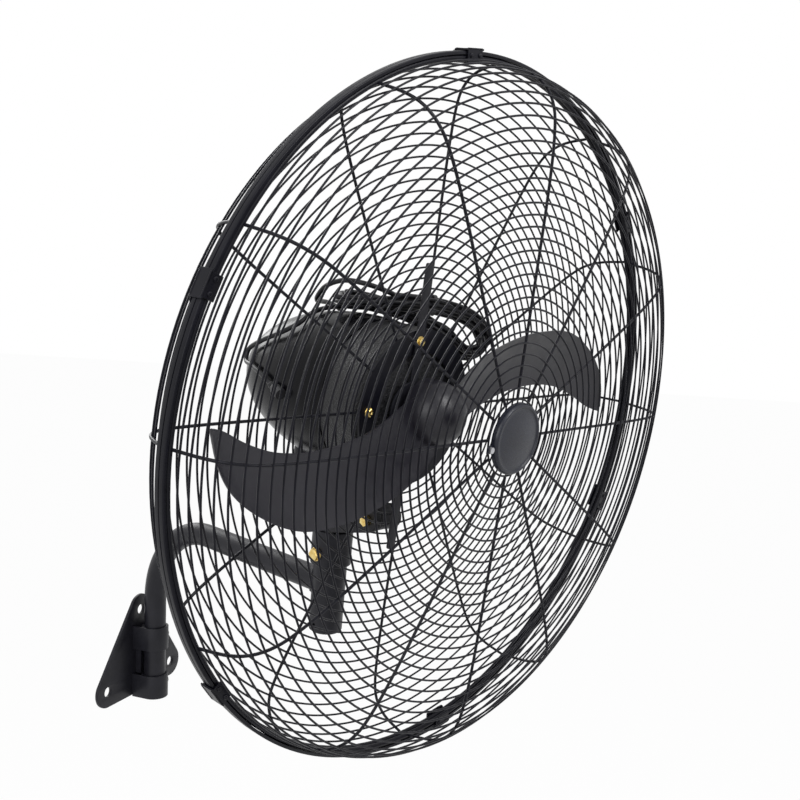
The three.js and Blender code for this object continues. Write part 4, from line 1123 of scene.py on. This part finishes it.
def guard_strap():
    """A flat bar beside the fan's axis with a round eye on it, drilled for two screws."""
    half, eye, corner = STRAP_HALF_WIDE, STRAP_EYE_R, 3
    dip = sqrt(eye * eye - half * half)
    turn = degrees(atan2(dip, half))
    right = arc(0, 0, eye, -turn, turn, 24)
    left = arc(0, 0, eye, 180 - turn, 180 + turn, 24)
    top = arc(0, STRAP_HALF - corner, corner, 0, 180, 8)
    tip = [(half - corner + u if u > 0 else corner - half + u, v) for u, v in top]
    outline = [*right, *tip, *left, *[(-x, -z) for x, z in tip]]
    drills = [arc(0, side * GUARD_SCREW_RADIUS, GUARD_SCREW_R + GAP, 0, 345, 23) for side in (-1, 1)]
    bore = [(u - STRAP_X, v) for u, v in arc(0, 0, STRAP_BORE_R, 0, 354, 59)]
    back = STRAP_Y + STRAP_THICK / 2
    return moved(plate(outline, STRAP_THICK, [bore, *drills], 0.5), shift(x=STRAP_X, y=back))


def guard_screw(face, angle):
    """A hexagon head with a round flange and a drilled dimple, bearing on a face at the given depth."""
    front = face - GAP
    flange = lathe([(0, front), (6.4, front), (6.5, front - 0.5), (6.2, front - 1), (0, front - 1)], 40)
    head = moved(lathe([(0, 3), (1.4, 3), (2.2, 4), (4.1, 4), (5, 3.3), (5, 0), (0, 0)], 6),
                 shift(y=front) @ Matrix.Rotation(pi, 4, "Z"))
    shank = rod(GUARD_SCREW_R, front - 1, BELL_FRONT_Y - GAP)
    across = STRAP_X if angle % 180 == 0 else 0
    place = shift(x=across) @ spin(angle) @ shift(z=GUARD_SCREW_RADIUS)
    return moved(joined(flange, head, shank), place)


def badge():
    """A shallow domed disc inside a raised rim, with the small lug that its screw holds."""
    face = 35.2
    dome = [(face * i / 10, BADGE_Y - 8.6 + 2.4 * (i / 10) ** 2) for i in range(11)]
    rim = [(face + 0.5, BADGE_Y - 6.4), (face + 1, BADGE_Y - 7.6), (face + 2.2, BADGE_Y - 8),
           (face + 3.8, BADGE_Y - 7.6), (BADGE_R - 0.8, BADGE_Y - 6), (BADGE_R, BADGE_Y - 4),
           (BADGE_R, BADGE_Y), (0, BADGE_Y)]
    lug = block((12, 2.4, 9), (-BADGE_R - 2, BADGE_Y - 2.2, BADGE_LUG_Z))
    return joined(lathe([*dome, *rim], 96), lug)


piece("strap", guard_strap(), FAN, satin, "head", ["guard_strap"])
STRAP_FACE, EYE_FACE = STRAP_Y - 1.5, REAR_PROFILE[-1][1] - 1.5
for name, face, angle in (("top", STRAP_FACE, 0), ("bottom", STRAP_FACE, 180),
                          ("left", EYE_FACE, 270), ("right", EYE_FACE, 90)):
    piece(f"screw_{name}", guard_screw(face, angle), FAN, zinc, "head",
          [f"guard_screw_{name}"], 25)
soften(piece("badge_disc", badge(), FAN, badge_plastic, "head", ["badge"]), 0.4, 2)

# ---------------------------------------------------------------- CAD nodes that show as they are

CARRIED = {
    satin: ["collar_spine"],
    zinc: ["tilt_bolt", "tilt_nut", "plug_pin_1", "plug_pin_2", "plug_pin_3"],
    cast: ["motor_rear_bell"],
    steel: ["bearing_front", "bearing_rear", "crank", "link_rod", "motor_shaft", "badge_screw",
            "grub_screw"],
    stack: ["stator"],
    machined: ["rotor"],
    copper: ["winding"],
}
for material, names in CARRIED.items():
    for name in names:
        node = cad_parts[name]
        node.data.materials.clear()
        node.data.materials.append(material)
        smooth(node, 32)
        soften(node, 0.4, 2)

# ---------------------------------------------------------------- floor, light and background


def only_seen(tree):
    """1 for rays that the eye follows: straight, mirrored or through glass."""
    path = tree.nodes.new("ShaderNodeLightPath")
    total = path.outputs["Is Camera Ray"]
    for name in ("Is Glossy Ray", "Is Transmission Ray"):
        most = tree.nodes.new("ShaderNodeMath")
        most.operation = "MAXIMUM"
        tree.links.new(total, most.inputs[0])
        tree.links.new(path.outputs[name], most.inputs[1])
        total = most.outputs[0]
    return total


def make_world(ambient):
    world = bpy.data.worlds.new("studio")
    bpy.context.scene.world = world
    world.use_nodes = True
    tree = world.node_tree
    strength = tree.nodes.new("ShaderNodeMapRange")
    strength.inputs["To Min"].default_value = ambient
    strength.inputs["To Max"].default_value = 1.0
    tree.links.new(only_seen(tree), strength.inputs["Value"])
    background = tree.nodes["Background"]
    background.inputs["Color"].default_value = (1, 1, 1, 1)
    tree.links.new(strength.outputs["Result"], background.inputs["Strength"])


def make_floor(height, seen_white):
    """A pale floor that shows almost white, with a trace of the object's shadow."""
    bpy.ops.mesh.primitive_plane_add(size=40, location=(0, 0, height))
    floor = bpy.context.object
    floor.name = "floor"
    material = bpy.data.materials.new("pale floor")
    material.use_nodes = True
    tree = material.node_tree
    paint = tree.nodes["Principled BSDF"]
    paint.inputs["Base Color"].default_value = (0.95, 0.95, 0.95, 1)
    paint.inputs["Roughness"].default_value = 0.9
    glow = tree.nodes.new("ShaderNodeEmission")
    share = tree.nodes.new("ShaderNodeMath")
    share.operation = "MULTIPLY"
    share.inputs[1].default_value = seen_white
    mix = tree.nodes.new("ShaderNodeMixShader")
    tree.links.new(only_seen(tree), share.inputs[0])
    tree.links.new(share.outputs[0], mix.inputs[0])
    tree.links.new(paint.outputs[0], mix.inputs[1])
    tree.links.new(glow.outputs[0], mix.inputs[2])
    tree.links.new(mix.outputs[0], tree.nodes["Material Output"].inputs["Surface"])
    floor.data.materials.append(material)


def soft_light(name, place, target, size, power):
    lamp = bpy.data.objects.new(name, bpy.data.lights.new(name, "AREA"))
    bpy.context.scene.collection.objects.link(lamp)
    lamp.location = place
    lamp.rotation_euler = (Vector(target) - Vector(place)).to_track_quat("-Z", "Y").to_euler()
    lamp.data.size = size
    lamp.data.energy = power


FLOOR_Z = -1.1
HEAD = FAN.translation

make_world(ambient=0.3)
make_floor(FLOOR_Z, seen_white=0.97)
soft_light("key", (-0.6, -2.4, 2.2), HEAD, 1.4, 45)
soft_light("left fill", (-2.6, -0.4, 1.2), HEAD, 1.6, 25)
soft_light("back rim", (1.0, 1.6, 1.6), HEAD, 1.2, 20)

bpy.context.scene.view_settings.view_transform = "Standard"
